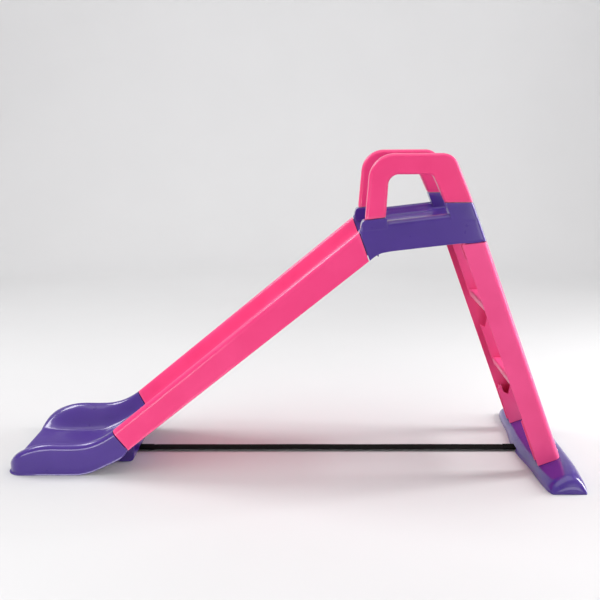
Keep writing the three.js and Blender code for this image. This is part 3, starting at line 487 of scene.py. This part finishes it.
def tongue(low, high, down, skirt):
    """A short channel that plugs into the chute, a wall and a clearance below its skin. Its side walls are
    cut back from the skirt's foot."""
    lap = ruled(channel([low, high], down, skirt, CHUTE_DEPTH), 10)
    n = normals(lap)
    up = n if n[..., 2].sum() > 0 else -n
    return shell(lap - up * (WALL + PLUG_GAP), CHUTE_FACES)


# ---- Upper chute


def upper_chute():
    """Straight channel ruled between its two joint planes: each line runs from a point of the lower section
    to the same point of the upper one."""
    crests = [SEAM_LOW + UPHILL * SEAM, SEAM_TOP - UPHILL * SEAM]
    ends = channel(crests, [SQUARE, MITRE_DOWN], [65, 75], CHUTE_DEPTH)
    parts = [shell(ruled(ends, 80), CHUTE_FACES, edges=(0.4, 0.4, 1.1, 1.1))]
    for s in (150, 290, 430, 570, 700):
        parts.append(cross_rib(SEAM_LOW + UPHILL * s, SQUARE, 68, CHUTE_DEPTH, 59, 33, UPHILL))
    return parts


# ---- Lower chute and run-out

# Crest X, crest Z, lean of the section, skirt, bed depth, half width of the bed.
RUN_OUT = np.array([
    [-495, 108.6, 33, 73, 44, 137], [-516, 97.6, 25, 72.5, 48, 131], [-536, 90, 18, 75, 53, 124],
    [-557, 85.2, 11, 80, 58, 117], [-580, 83.2, 5, 82.8, 63, 110], [-606, 83, 0, 83, 65, 106],
    [-636, 83.5, 0, 83.5, 65.5, 105], [-661, 82.4, 0, 82.4, 63.9, 105], [-686, 78.5, 0, 78.5, 59.5, 105],
])
# X, crest Z, bed Z and roll of the edge round the mouth.
MOUTH = np.array([
    [-686, 78.5, 19, 15], [-706, 72.8, 19.6, 15], [-722, 66.2, 20.4, 14.5], [-736, 58.8, 21.2, 13.5],
    [-747, 50.6, 21.8, 12], [-755, 42.4, 22, 10], [-761, 34.5, 21.8, 7.5], [-766, 27, 21, 5],
])
MOUTH_BED = 105.0  # half width of the flat bed at the mouth
MOUTH_FRONT = -766.0  # its front edge
MOUTH_CORNER = 42.0  # radius of its corners in plan
LEAST_WAVE = 16.0  # least width of the wave between rim and bed


ON_FLOOR = np.array([1, 1, 0])  # drops a point to the floor
SLOT_TOP, SLOT_HALF = 13.5, 24.0  # slot for the strap in the bracket


def mouth_grid():
    """Upright slices of the mouth. A slice's height is its rim-to-bed wave, less the roll of the edge: r
    minus the root of r squared less (r - d) squared, d being the distance in from the plan outline."""
    turn = np.linspace(0, np.pi / 2, 44)
    centre = MOUTH_FRONT + MOUTH_CORNER
    x = np.concatenate([np.linspace(-686, centre, 6)[1:-1], centre - MOUTH_CORNER * np.sin(turn)])
    w = np.where(x > centre, HALF_W, HALF_W - MOUTH_CORNER + np.sqrt(
        np.maximum(MOUTH_CORNER**2 - (centre - x) ** 2, 0)))
    crest, bed, roll = smooth(-MOUTH[:, 0], MOUTH[:, 1:], -x).T
    bed_half = np.minimum(MOUTH_BED, w - roll - RIM_FLAT - LEAST_WAVE)
    down = np.tile([0.0, -1.0], (len(x), 1))
    grid = channel(np.stack([x, crest], -1), down, crest, crest - bed, w, roll, bed_half)
    # The same wave without the section's own roll; the roll comes off by distance from the outline.
    q = w[:, None] - np.abs(grid[..., 1])
    fall = np.clip((q - roll[:, None] - RIM_FLAT) / (w - bed_half - roll - RIM_FLAT)[:, None], 0, 1)
    wave = crest[:, None] - (crest - bed)[:, None] * (1 - np.cos(np.pi * fall)) / 2
    side = np.abs(grid[..., 1]) - (HALF_W - MOUTH_CORNER)
    ahead = centre - x[:, None] + 0 * side
    out = np.hypot(np.maximum(side, 0), np.maximum(ahead, 0)) + np.minimum(np.maximum(side, ahead), 0)
    d = np.clip(MOUTH_CORNER - out, 0, roll[:, None])
    r = roll[:, None]
    top = wave - (r - np.sqrt(np.maximum(r**2 - (r - d) ** 2, 0)))
    skirts = len(SKIRT_STEPS) - 1
    z = top.copy()
    z[:, : skirts + 1] = top[:, skirts : skirts + 1] * SKIRT_STEPS
    z[:, -skirts - 1 :] = top[:, -skirts - 1 : -skirts] * SKIRT_STEPS[::-1]
    grid[..., 2] = z
    # The front closes with an upright wall down to the floor.
    return np.vstack([grid, ruled((grid[-1], grid[-1] * ON_FLOOR), 6)[1:]])


def floor_lip():
    """The band round the mouth's plan outline, between two lines with the same corner arc."""
    quarter = np.linspace(-np.pi / 2, -np.pi, 16)
    arc = np.stack([np.cos(quarter), np.sin(quarter)], -1) * MOUTH_CORNER
    outer = np.vstack([[[-690, -202.6]], [-769.5 + MOUTH_CORNER, MOUTH_CORNER - 202.6] + arc])
    inner = np.vstack([[[-690, -197]], [-758 + MOUTH_CORNER, MOUTH_CORNER - 193] + arc])
    front = np.vstack([outer, outer[::-1] * [1, -1]])
    back = np.vstack([inner, inner[::-1] * [1, -1]])[::-1]
    return plate(np.vstack([front, back]), 0, 3, level, edge=1.2)


def bracket():
    """The bracket under the joint, open below: two walls with round corners, a slot for the strap in the
    ladder side, cheeks at both ends and two pads for the strap's pin."""
    ahead = filleted([[-479, 0.5], [-493.5, 2], [-493.5, 52.5]], [10], 5, 9)
    behind = filleted([[-457, 0.5], [-438.5, 1.5], [-438.5, 66]], [15], 5, 10)
    over = behind[behind[:, 1] > SLOT_TOP]
    parts = []
    for line, y0, y1, way in ((ahead, -100, 100, -1), (behind, -100, -SLOT_HALF, 1),
                              (over, -SLOT_HALF, SLOT_HALF, 1), (behind, SLOT_HALF, 100, 1)):
        y = np.linspace(y0, y1, 12)[:, None]
        joint = [0.0 if abs(v) == SLOT_HALF else 1.2 for v in (y0, y1)]
        parts.append(shell(upright(line[:, 0], y, line[:, 1]), (way, 0, 0), edges=(*joint, 1.0, 0.0)))
    cheek = filleted([[-479, 0.5], [-493.5, 2], [-493.5, 52], [-438.5, 66], [-438.5, 1.5], [-457, 0.5]],
                     [10, 2, 2, 15], 3, 8)
    parts += both([plate(offset(cheek, np.full(len(cheek), 0.4)), 96.5, 99.6, edge=0.8)])
    pad = [[-489, 56], [-489, 15], [-480, 1], [-456, 1], [-443, 15], [-443, 50]]
    return parts + both([plate(pad, 26, 30, edge=0.5)])


def lower_chute():
    """Run-out: leaned sections blended along the crest, then the mouth's upright slices, as one skin; and
    ribs, floor lip, bracket and the tongue that plugs into the upper chute."""
    start = [[*(SEAM_LOW - UPHILL * SEAM), math.degrees(SLOPE), 65, CHUTE_DEPTH, BED_HALF]]
    # The last row only sets the slope with which the sections run on into the mouth.
    rows = np.vstack([start, RUN_OUT, [[-706, 72.8, 0, 72.8, 53.2, 105]]])
    knots = lengths(rows[:-1, :2])
    at = np.linspace(0, knots[-1], 92)
    x, z, degrees, skirt, depth, bed_half = smooth(np.append(knots, knots[-1] + 21.3), rows, at).T
    slopes = channel(np.stack([x, z], -1), lean(degrees), skirt, depth, bed_half=bed_half)
    parts = [shell(np.vstack([slopes, mouth_grid()]), (0, 0, 1), edges=(0.4, 0.8, 1.1, 1.1))]
    for rib_x, crest, depth, half in ((-735, 53.5, 32, 184), (-690, 74.8, 55.8, 197), (-640, 83.4, 65.4, 197),
                                      (-590, 83.1, 64, 197)):
        under, shoulder = crest - depth - 1.6, 0.55 * crest
        line = [[-half, 2], [half, 2], [half, shoulder], [half - 34, under], [34 - half, under],
                [-half, shoulder]]
        parts.append(plate(line, rib_x - 1.5, rib_x + 1.5, crosswise, edge=0.5))
    plug = tongue(SEAM_LOW - UPHILL * 12, SEAM_LOW + UPHILL * 42, [SQUARE, SQUARE], 53)
    return [*parts, floor_lip(), *bracket(), plug]


# ---- Platform

# Crest X, crest Z, lean of the section, skirt, bed depth.
DECK = np.array([
    [196, 681, 15.6, 92, 55.5], [222, 683, 7.5, 83, 42], [249, 685.6, 0, 79.3, 31],
    [272, 688.2, 0, 77.8, 24.5], [300, 691.3, 0, 77.8, 22], [440, 707, 0, 77.8, 22],
    [466, 709.6, 12, 80.3, 22.2],
])
DECK_REAR = np.array([484.5, 709.5])  # crest at the rear edge
REAR_ROLL = 9.0  # radius of the rear edge
REAR_SKIRT = 79.5  # height of the rear wall
POST_SUNK = 4.0  # how far a post's outer faces start below the deck's skin
POST_PROUD = 0.2  # how far they stand out of it further up


def deck_grid():
    """Deck skin: leaned sections blended along the crest. At the rear edge each section shrinks by r less r
    times the cosine, and a leaned wall closes the rear down to the skirt's foot."""
    first = np.concatenate([SEAM_TOP + UPHILL * SEAM, MITRE_DOWN, [75, CHUTE_DEPTH]])
    middle = np.hstack([DECK[:, :2], lean(DECK[:, 2]), DECK[:, 3:]])
    down = lean(math.degrees(TILT))
    turning = np.concatenate([DECK_REAR - [REAR_ROLL / math.cos(TILT), -0.6], down, [80.1, 20.6]])
    rows = np.vstack([first, middle, turning])
    knots = lengths(rows[:, :2])
    x, z, dx, dz, skirt, depth = smooth(knots, rows, np.linspace(0, knots[-1], 100)).T
    main = channel(np.stack([x, z], -1), np.stack([dx, dz], -1), skirt, depth)
    turn = np.linspace(0, np.pi / 2, 9)[1:]
    shrunk = REAR_ROLL * (1 - np.cos(turn))
    ahead = REAR_ROLL * (1 - np.sin(turn)) / math.cos(TILT)
    crest = DECK_REAR - np.stack([ahead, 0 * ahead], -1) + np.outer(shrunk, down)
    rear = channel(crest, np.tile(down, (8, 1)), REAR_SKIRT - shrunk, 20.3, HALF_W - shrunk)
    last = rear[-1]
    fall = np.array([down[0], 0, down[1]])
    h = (last - [DECK_REAR[0], 0, DECK_REAR[1]]) @ fall
    foot = last + (REAR_SKIRT - h)[:, None] * fall
    return np.vstack([main, rear, ruled((last, foot), 9)[1:]])


def rounded(x0, x1, y0, y1, radii, steps, pinch=0.0):
    """A rectangle with a quarter circle at each corner, from the low-low one round to the low-high one.
    pinch draws the arcs in."""
    ring = []
    for k, r in enumerate(radii):
        turn = (k + 2) * np.pi / 2 + np.linspace(0, np.pi / 2, steps)
        centre = [x1 - r if k in (1, 2) else x0 + r, y0 + r if k < 2 else y1 - r]
        ring.append(centre + (r - pinch) * np.stack([np.cos(turn), np.sin(turn)], -1))
    return np.vstack(ring)


def spanning(front, rear, ring):
    """Place an outline whose first axis runs from the front point to the rear one and whose second is Y."""
    at = front + np.outer(ring[:, 0] / np.linalg.norm(rear - front), rear - front)
    return np.stack([at[:, 0], ring[:, 1], at[:, 1]], -1)


def post(front, rear, corners):
    """A leaning post for a handrail: rounded rectangles between the front and rear lines. corners are the
    radii front in, rear in, rear out and front out. The outer faces start under the deck's skin, and the
    last two slices round the top edge."""
    rings = []
    count = len(front)
    for i in range(count):
        sink = max(0.0, 1 - i / 4) * POST_SUNK - POST_PROUD
        top = 0.9 * max(0.0, i - count + 3) ** 2 / 4
        long = np.linalg.norm(rear[i] - front[i])
        ring = rounded(top, long - top - sink, POST_IN + top, HALF_W - sink - top, corners, 7)
        rings.append(spanning(front[i], rear[i], ring))
    return tube(rings)


def platform():
    """Deck, four posts for the handrails, latch tabs, cross ribs and the tongue under the chute's end."""
    parts = [shell(deck_grid(), (0, 0, 1), edges=(0.4, 0.9, 1.1, 1.1))]
    t = np.linspace(0, 1, 14)
    front = smooth([0, 0.35, 0.6, 0.93, 1],
                   [[192, 652], [188.6, 662], [189.4, 672], [194.4, 686.3], [197, 688.5]], t)
    rear = smooth([0, 0.5, 1], [[261.5, 652], [258.6, 676], [254.2, 695.1]], t)
    parts += both([post(front, rear, (2.5, 2.5, 3, 5))])
    front = smooth([0, 0.5, 1], [[428, 668], [416.5, 700], [403.4, 732.7]], t)
    rear = np.outer(1 - t, [500.6, 665.8]) + np.outer(t, [475.9, 732.7])
    parts += both([post(front, rear, (3, 4, 12, 3))])
    tab = [[236, 652], [236, 599], [231, 594.5], [238.6, 588.3], [240, 652]]
    parts += both([plate(tab, 138, POST_IN, edge=0.6)])
    for x, crest in ((300, 691.3), (350, 697), (400, 702.6)):
        down = np.array([0.0, -1.0])
        parts.append(cross_rib(np.array([x, crest]), down, 77.8, 22, crest - 646, 14, (1, 0)))
    plug = tongue(SEAM_TOP - UPHILL * 42, SEAM_TOP + UPHILL * 8, [SQUARE, MITRE_DOWN], 58)
    return [*parts, plug]


# ---- Handrails


GRIP_SIDES = (157.0, 197.0)  # inner and outer face of a grip


def handrail():
    """A loop grip: a rounded rectangle between an outer and an inner line that pair up point by point, from
    the front seat over the top to the rear seat. Its two end slices are drawn in a little."""
    outer = filleted([[200.4, 690.5], [214.5, 857.5], [424, 857.5], [475.8, 734.2]], [66, 42], 16, 22)
    inner = filleted([[253.2, 696.7], [260, 805], [371, 805], [403.6, 734.2]], [27, 16], 16, 22)
    last = len(outer) - 1
    rings = []
    for i, (a, b) in enumerate(zip(outer, inner)):
        pinch = 0.8 if i in (0, last) else 0.0
        ring = rounded(0, np.linalg.norm(b - a), *GRIP_SIDES, (10, 8, 8, 10), 9, pinch)
        rings.append(spanning(a, b, ring))
    return tube(rings)


# ---- Ladder

LADDER_FOOT = (669.5, 26.0)  # lower front corner of a rail
STILE_DEPTH = 63.8  # depth of a rail
STEP_BACK = 13.0  # depth at which the inner web starts between the boxed ends
BOX_LOW, BOX_HIGH = 118.0, 592.0  # ends of the boxed-in stretches along the rail
TREADS = (236.0, 446.0)  # heights of the treads
NOTCH_R = 60.0  # radius of a notch's lower side
TOP_EDGE = 0.9  # how far the rail's outer skin stops short of its top
NOTCH_END = 53.0  # depth to which the notches reach
RECESS = 8.0  # depth at which a rail's front wall lies between its webs


def on_ladder(p, y, s):
    """Ladder frame to part frame: depth p and rail length s, leaned back about Y from the rail's foot."""
    c, n = math.cos(TILT), math.sin(TILT)
    x, z = LADDER_FOOT[0] + p * c - s * n, LADDER_FOOT[1] + p * n + s * c
    return np.stack(np.broadcast_arrays(x, y, z), -1)


def to_ladder(x, z):
    """Part frame to the ladder's depth and rail length."""
    c, n = math.cos(TILT), math.sin(TILT)
    dx, dz = np.asarray(x) - LADDER_FOOT[0], np.asarray(z) - LADDER_FOOT[1]
    return dx * c + dz * n, -dx * n + dz * c


def rail_top(p):
    """Length along the rail at depth p to the platform's lower edge, a line that rises 0.112 per unit."""
    c, n, rise = math.cos(TILT), math.sin(TILT), 0.112
    level_gap = 624.3 - LADDER_FOOT[1] + rise * (LADDER_FOOT[0] - 430)
    return (level_gap + p * (rise * c - n)) / (c + rise * n)


def inner_web():
    """Outline of a rail's inner web in the ladder frame. Under each tread it has a hand-sized notch: a level
    top, and below it an arc of radius NOTCH_R, cut off at NOTCH_END."""
    line = [[0.4, GAP], [57, GAP], [57, rail_top(57)], [0.4, rail_top(0.4)], [0.4, BOX_HIGH],
            [STEP_BACK, BOX_HIGH - 6]]
    for z in reversed(TREADS):
        cx = LADDER_FOOT[0] - (z - 84) * math.tan(TILT) + 60.8 / math.cos(TILT)
        top = z - 27
        x0 = LADDER_FOOT[0] + (STEP_BACK - (top - LADDER_FOOT[1]) * math.sin(TILT)) / math.cos(TILT)
        a = np.linspace(math.pi + 1.28, math.pi, 26)
        arc = np.stack(to_ladder(cx + NOTCH_R * np.cos(a), z - 58 + NOTCH_R * np.sin(a)), -1)
        arc = arc[arc[:, 0] > STEP_BACK + 0.3]
        first = np.array(to_ladder(x0, top))
        slant = np.array(to_ladder(cx - 2, top))
        meet = slant + (arc[0] - slant) * (NOTCH_END - slant[0]) / (arc[0, 0] - slant[0])
        corner = [NOTCH_END, first[1] - (NOTCH_END - STEP_BACK) * math.tan(TILT)]
        line += [first, corner, meet, *arc, [STEP_BACK, arc[-1, 1] + 2.2]]
    return np.array([*line, [STEP_BACK, BOX_LOW + 10], [0.4, BOX_LOW]])


def ladder():
    """Two side rails and two treads. A rail is an outer web, a rounded rear corner and a rear flange as one
    skin, the inner web, and front walls that box in both ends."""
    web = filleted([[0.0, HALF_W], [STILE_DEPTH, HALF_W], [STILE_DEPTH, POST_IN], [57.0, POST_IN]], [17, 5],
                   7, 10)
    t = np.linspace(0, 1, 60)[:, None]
    s = GAP + (rail_top(web[None, :, 0]) - TOP_EDGE - GAP) * t
    skin = on_ladder(web[None, :, 0], web[None, :, 1] + 0 * s, s)
    line = inner_web()
    parts = [shell(skin, (1, 0.4, 0), edges=(0.8, 0.8, 1.0, 0.0)),
             plate(line, POST_IN, POST_IN + WALL, on_ladder, edge=0.7, held=line[:, 0] > 56.5)]
    for s0, s1 in ((GAP, BOX_LOW), (BOX_HIGH, rail_top(2))):
        wall = [[RECESS, s0], [RECESS + WALL, s0], [RECESS + WALL, s1], [RECESS, s1]]
        parts.append(plate(wall, POST_IN + 3, HALF_W - 3, on_ladder, edge=0.5))
    parts = both(parts)
    run = math.tan(TILT)
    for z in TREADS:
        f = LADDER_FOOT[0] - (z - LADDER_FOOT[1]) * run + (STEP_BACK + 1) / math.cos(TILT)
        b = f + (STILE_DEPTH - STEP_BACK - 2) / math.cos(TILT)
        line = filleted([[f + 22 * run, z - 22], [f, z], [b, z], [b + 26 * run, z - 26]], [5, 6], 6, 8)
        y = np.linspace(-POST_IN - 1, POST_IN + 1, 40)[:, None]
        parts.append(shell(upright(line[:, 0], y, line[:, 1]), (0, 0, 1), edges=(0, 0, 1.0, 1.0)))
    return parts


# ---- Foot

# X and Z round the middle section and round the end one, from the front foot over the top to the rear foot.
FOOT_MID = np.array([[646.5, 0], [650, 9], [658, 19.5], [668, 25.45], [700, 37.25], [730.5, 48.5],
                     [741, 49.6], [752, 45.5], [761, 35], [767, 20], [769.5, 9], [769.5, 0]])
FOOT_END = np.array([[661, 0], [664, 11], [672, 21], [684, 30], [700, 37.2], [715, 42],
                     [727, 43], [740, 40.5], [751, 34], [761, 23], [767, 11], [768.5, 0]])
FOOT_HALF = 330.0  # half length of the foot
NOSE = 36.0  # length of the rounded nose
FOOT_SLOT = 21.6  # half width of the slot for the strap


def foot():
    """Cross foot: a domed section blended along Y from the middle one to the end one, and sunk and narrowed
    over the nose. In the middle, the slot for the strap lifts the section's front foot."""
    # Distance from the middle, share of the end section, and how far the front foot moves back.
    rows = [(0, 0, 0), (50, 0, 1.5), (140, 0, 11), (205, 0, 14), (245, 0.12, 14), (285, 0.5, 11.5),
            (312, 0.95, 8), (FOOT_HALF, 1, 11)]
    sections = []
    for _, blend, shift in rows:
        section = FOOT_MID + (FOOT_END - FOOT_MID) * blend
        section[:4, 0] += shift * (1 - np.arange(4) / 4)
        sections.append(section.ravel())
    nose = FOOT_HALF - NOSE * (1 - np.sin(np.linspace(0, np.pi / 2, 22)[1:]))
    y = np.concatenate([np.linspace(0, FOOT_SLOT - 1.2, 6), [FOOT_SLOT], np.linspace(30, 200, 18),
                        np.linspace(205, 290, 20), nose])
    half = smooth([r[0] for r in rows], sections, y).reshape(len(y), 12, 2)
    # The height falls with the root of 1 - 0.93 u to the power 2.4, u growing over the nose, the width less.
    fall = np.sqrt(1 - 0.93 * np.clip((y - FOOT_HALF + NOSE) / NOSE, 0, 1) ** 2.4)[:, None]
    middle = (half[:, :1, 0] + half[:, -1:, 0]) / 2
    half[..., 0] = middle + (half[..., 0] - middle) * (0.83 + 0.17 * fall)
    half[..., 1] *= fall
    index = np.linspace(0, 11, 100)
    lifted = 1.1 * np.clip((FOOT_SLOT - y) / 1.2, 0, 1)
    grid = np.stack([smooth(np.arange(12), ring, lift + index * (11 - lift) / 11)
                     for ring, lift in zip(half, lifted)])
    lines = upright(grid[..., 0], y[:, None], grid[..., 1])
    lines = np.vstack([lines, ruled((lines[-1], lines[-1] * ON_FLOOR), 6)[1:]])
    skin = np.vstack([lines[:0:-1] * [1, -1, 1], lines])
    cheek = [[652, 1], [690, 1], [690, 31], [667, 22], [656, 12]]
    return [shell(skin, (0, 0, 1), edges=(0.8, 0.8, 1.0, 1.0)), *both([plate(cheek, 26, 30, edge=0.5)])]


# ---- Strap, pins and screws

PIN_R = 3.5  # radius of the pins
PIN_HALF = 31.0  # half length of the pins
STRAP_Z = 8.0  # height of the strap's middle and of the pins
STRAP_HALF = 20.0  # half width of the webbing
PIN_X = (-452.0, 669.0)


def strap_line():
    """Middle of the webbing: from a sewn end round the pin, along the floor, and round the other pin."""
    a = np.linspace(0.35, 2 * np.pi - 0.35, 26)
    turn = (PIN_R + 1.35) * np.stack([np.cos(a), np.sin(a)], -1)
    fold = np.array([[50, 1.04], [30, 1.04], [13, 1.1]])
    lead = np.array([[13, -1.1], [30, -1.04], [47, -1.04]])
    start, end = np.array([[x, STRAP_Z] for x in PIN_X])
    across = np.array([-1, 1])
    span = np.linspace(start[0] + 58, end[0] - 58, 130)
    wave = 0.25 * np.sin((span - start[0]) / 61) * np.sin(np.pi * (span - span[0]) / (span[-1] - span[0]))
    body = np.stack([span, STRAP_Z + wave], -1)
    return np.vstack([start + fold, start + turn, start + lead, body, end + across * lead[::-1],
                      end + across * turn, end + across * fold[::-1]])


def strap():
    """Webbing 40 mm wide and 2 mm thick: a flat section with round selvedges carried along the middle line,
    and rows of lock stitches, each a small flattened bead, through the two layers at both ends."""
    rough = strap_line()
    run = lengths(rough)
    line = smooth(run, rough, np.linspace(0, run[-1], 520))
    way = unit(np.gradient(line, axis=0))
    up = np.stack([-way[:, 1], way[:, 0]], -1)
    a = np.linspace(0, 2 * np.pi, 36, endpoint=False)
    y = STRAP_HALF * np.sign(np.cos(a)) * np.abs(np.cos(a)) ** 0.35
    h = 0.98 * np.sign(np.sin(a)) * np.abs(np.sin(a)) ** 0.45
    points = line[:, None, :] + up[:, None, :] * h[None, :, None]
    parts = [tube(np.stack([points[..., 0], np.broadcast_to(y, points.shape[:2]), points[..., 1]], -1))]
    stitches = []
    for x0, side in zip(PIN_X, (1, -1)):
        for y0 in (-16, -8, 0, 8, 16):
            stitches += [(x0 + side * (16 + 3.1 * k), y0, 0) for k in range(10)]
        for along in (14, 47):
            stitches += [(x0 + side * along, -16 + 3.1 * k, 1) for k in range(11)]
    for x, y0, turned in stitches:
        parts += [stitch(x, y0, STRAP_Z + side, turned) for side in (2.05, -2.05)]
    return parts


def stitch(x, y, z, turned):
    """One stitch: an ellipsoid bead 2.4 mm long, 0.9 mm wide and 0.5 mm high."""
    a = np.linspace(0, 2 * np.pi, 6, endpoint=False)
    t = np.linspace(-1, 1, 5)
    r = np.sqrt(np.maximum(1 - t**2, 0.02))[:, None]
    long, wide, high = t[:, None] * 1.2 + 0 * a, 0.45 * r * np.cos(a), 0.25 * r * np.sin(a)
    across, along = (long, wide) if turned else (wide, long)
    return tube(np.stack([x + along, y + across, z + high], -1))


def pin(x):
    """A steel pin with chamfered ends."""
    a = np.linspace(0, 2 * np.pi, 40, endpoint=False)
    y = np.array([-PIN_HALF, -30.2, -30, -10, 10, 30, 30.2, PIN_HALF])[:, None]
    r = np.where(np.abs(y) < PIN_HALF, PIN_R, PIN_R - 0.8)
    return tube(np.stack(np.broadcast_arrays(x + r * np.cos(a), y, STRAP_Z + r * np.sin(a)), -1))


def screw(seat, axis):
    """A pan-head screw. The head is a dome whose height falls with the fourth power of the radius, with a
    cross recess: two crossed slots with soft sides. Below it are the head's rim and the shank."""
    a = np.linspace(0, 2 * np.pi, 64, endpoint=False)
    r = np.linspace(0.05, 1, 22)[:, None] * 3.55
    x, y = r * np.cos(a), r * np.sin(a)
    dome = 2.2 - 1.0 * (r / 3.6) ** 4 + 0 * a
    arm = [np.clip((0.55 - np.abs(u)) / 0.16, 0, 1) * np.clip((1.9 - np.abs(v)) / 0.3, 0, 1)
           for u, v in ((x, y), (y, x))]
    head = np.stack([x, y, dome - 1.3 * np.maximum(*arm)], -1)
    r, z = np.array([[3.6, 0.9], [3.6, 0.1], [3.3, 0.0], [1.6, 0.0], [1.6, -8.0], [0.3, -11.0]]).T[..., None]
    below = np.stack(np.broadcast_arrays(r * np.cos(a), r * np.sin(a), z), -1)
    w = -unit(np.asarray(axis, float))
    u = unit(np.cross(w, [0.3, 0.9, 0.2]))
    return tube(np.asarray(seat) + np.vstack([head, below]) @ np.stack([u, np.cross(w, u), w]))


# ---- Assembly

make("upper_chute_channel", upper_chute(), pink_slide, ["upper_chute"])
make("lower_chute_run_out", lower_chute(), purple_floor, ["lower_chute"])
make("deck_moulding", platform(), purple_gloss, ["platform"])
make("loop_grip_right", [handrail()], pink_gloss, ["handrail_right"])
make("loop_grip_left", [mirrored(handrail())], pink_gloss, ["handrail_left"])
make("ladder_frame", ladder(), pink_tread, ["ladder"])
make("cross_foot", foot(), purple_gloss, ["foot"])
make("floor_strap", strap(), webbing, ["spreader_strap"],
     uv=lambda p: np.stack([p[:, 1] + STRAP_HALF, p[:, 0]], -1))
make("pin_under_chute", [pin(PIN_X[0])], zinc, ["strap_pin_chute"])
make("pin_in_foot", [pin(PIN_X[1])], zinc, ["strap_pin_foot"])

into_rail = [-math.cos(TILT), 0, -math.sin(TILT)]
for side, word in ((-1, "left"), (1, "right")):
    # Four screws stand 0.15 mm off a rail's rear, at these lengths along it, and one off the front post.
    screws = {name: (on_ladder(STILE_DEPTH + 0.15, side * 177.0, s), into_rail) for name, s in (
        (f"foot_{word}_lower", 16.0), (f"foot_{word}_upper", 38.0), (f"platform_{word}", 672.0),
        (f"handrail_rear_{word}", 736.0))}
    screws[f"handrail_front_{word}"] = ([226, side * (POST_IN - 0.15), 668], [0, side, 0])
    for name, (seat, axis) in screws.items():
        make("zinc_screw_" + name, [screw(seat, axis)], zinc, ["screw_" + name])


# ---- Studio: floor sweep, soft lights and camera


def studio_sweep():
    """A round floor that turns up into a wall: flat, then a quarter circle, then upright."""
    flat, bend, wall = 3400.0, 1500.0, 2600.0
    turn = np.linspace(0, np.pi / 2, 24)
    r = np.concatenate([[1.0, 1200.0, 2400.0], flat + bend * np.sin(turn), [flat + bend]])
    z = np.concatenate([[0.0, 0.0, 0.0], bend * (1 - np.cos(turn)), [wall]])
    a = np.linspace(0, 2 * np.pi, 96, endpoint=False)
    grid = np.stack(np.broadcast_arrays(r[:, None] * np.cos(a), r[:, None] * np.sin(a), z[:, None]), -1)
    faces = quads_of(len(r), len(a), wrap=True).tolist() + [list(range(len(a)))]
    mesh = bpy.data.meshes.new("studio_sweep")
    mesh.from_pydata((grid.reshape(-1, 3) * MM).tolist(), [], faces)
    mesh.polygons.foreach_set("use_smooth", np.ones(len(mesh.polygons), bool))
    material, tree = new_material("matt_white_paper")
    place = add(tree, "TexCoord").outputs["Object"]
    tooth = add(tree, "TexNoise", {"Vector": place, "Scale": 2.0, "Detail": 2.0})
    shade = add(tree, "Mix", {"Factor": tooth, "A": linear("#d1d1d2"), "B": linear("#d5d5d6")},
                data_type="RGBA")
    paper = add(tree, "BsdfPrincipled", {"Base Color": shade, "Roughness": 0.85})
    add(tree, "OutputMaterial", {"Surface": paper})
    mesh.materials.append(material)
    sweep = bpy.data.objects.new("studio_sweep", mesh)
    bpy.context.scene.collection.objects.link(sweep)


def softbox(name, position, target, size, power):
    """A rectangular soft light that faces its target."""
    light = bpy.data.lights.new(name, "AREA")
    light.shape = "RECTANGLE"
    light.size, light.size_y = size
    light.energy = power
    lamp = bpy.data.objects.new(name, light)
    z = unit(np.subtract(position, target))
    x = unit(np.cross([0, 0, 1] if abs(z[2]) < 0.99 else [0, 1, 0], z))
    turn = Matrix(np.stack([x, np.cross(z, x), z], axis=1).tolist()).to_4x4()
    lamp.matrix_world = Matrix.Translation(position) @ turn
    bpy.context.scene.collection.objects.link(lamp)


studio_sweep()
softbox("overhead", (0.2, -0.4, 3.0), (0, 0, 0), (3.0, 2.6), 31)
softbox("crest_light", (-2.2, 1.1, 2.9), (-0.3, 0, 0.3), (1.6, 1.0), 54)
softbox("front_fill", (2.0, -3.0, 1.6), (0.4, 0, 0.4), (1.6, 1.4), 6)
softbox("low_panel", (1.6, -2.9, 0.62), (0.7, 0, 0.3), (1.2, 0.7), 7)
softbox("mouth_fill", (-1.3, -1.9, 0.4), (-0.6, -0.2, 0.1), (0.9, 0.5), 11)
softbox("ladder_side", (3.0, 0.3, 1.3), (0.4, 0, 0.5), (0.8, 2.2), 92)
softbox("rear_wash", (0.0, 3.0, 2.2), (0, 4.6, 1.2), (4.0, 1.0), 22)

world = bpy.data.worlds.new("studio_room")
world.use_nodes = True
sky = world.node_tree
# Dim walls below a pale ceiling: the light grows with the height of the direction.
toward = add(sky, "SeparateXYZ", {"Vector": add(sky, "TexCoord").outputs["Generated"]})
rising = add(sky, "MapRange", {"Value": toward.outputs["Z"], "From Max": 0.8, "To Min": 0.22,
                               "To Max": 0.62})
sky.nodes["Background"].inputs["Color"].default_value = (1.0, 0.985, 0.98, 1.0)
sky.links.new(rising.outputs["Result"], sky.nodes["Background"].inputs["Strength"])
scene = bpy.context.scene
scene.world = world
scene.view_settings.view_transform = "Standard"

YAW, PITCH, ROLL = -0.01456, 0.19192, -0.00547  # radians
EYE = (0.0655, -2.49636, 0.92906)  # metres
ahead = np.array([math.sin(YAW) * math.cos(PITCH), math.cos(YAW) * math.cos(PITCH), -math.sin(PITCH)])
right = np.array([math.cos(YAW), -math.sin(YAW), 0])
above = np.cross(right, ahead)
c, n = math.cos(ROLL), math.sin(ROLL)
right, above = right * c + above * n, above * c - right * n
lens = bpy.data.cameras.new("studio_camera")
lens.sensor_width = 36.0
lens.lens = 54.0
camera = bpy.data.objects.new("studio_camera", lens)
turn = Matrix(np.stack([right, above, -ahead], axis=1).tolist()).to_4x4()
camera.matrix_world = Matrix.Translation(EYE) @ turn
scene.collection.objects.link(camera)
scene.camera = camera
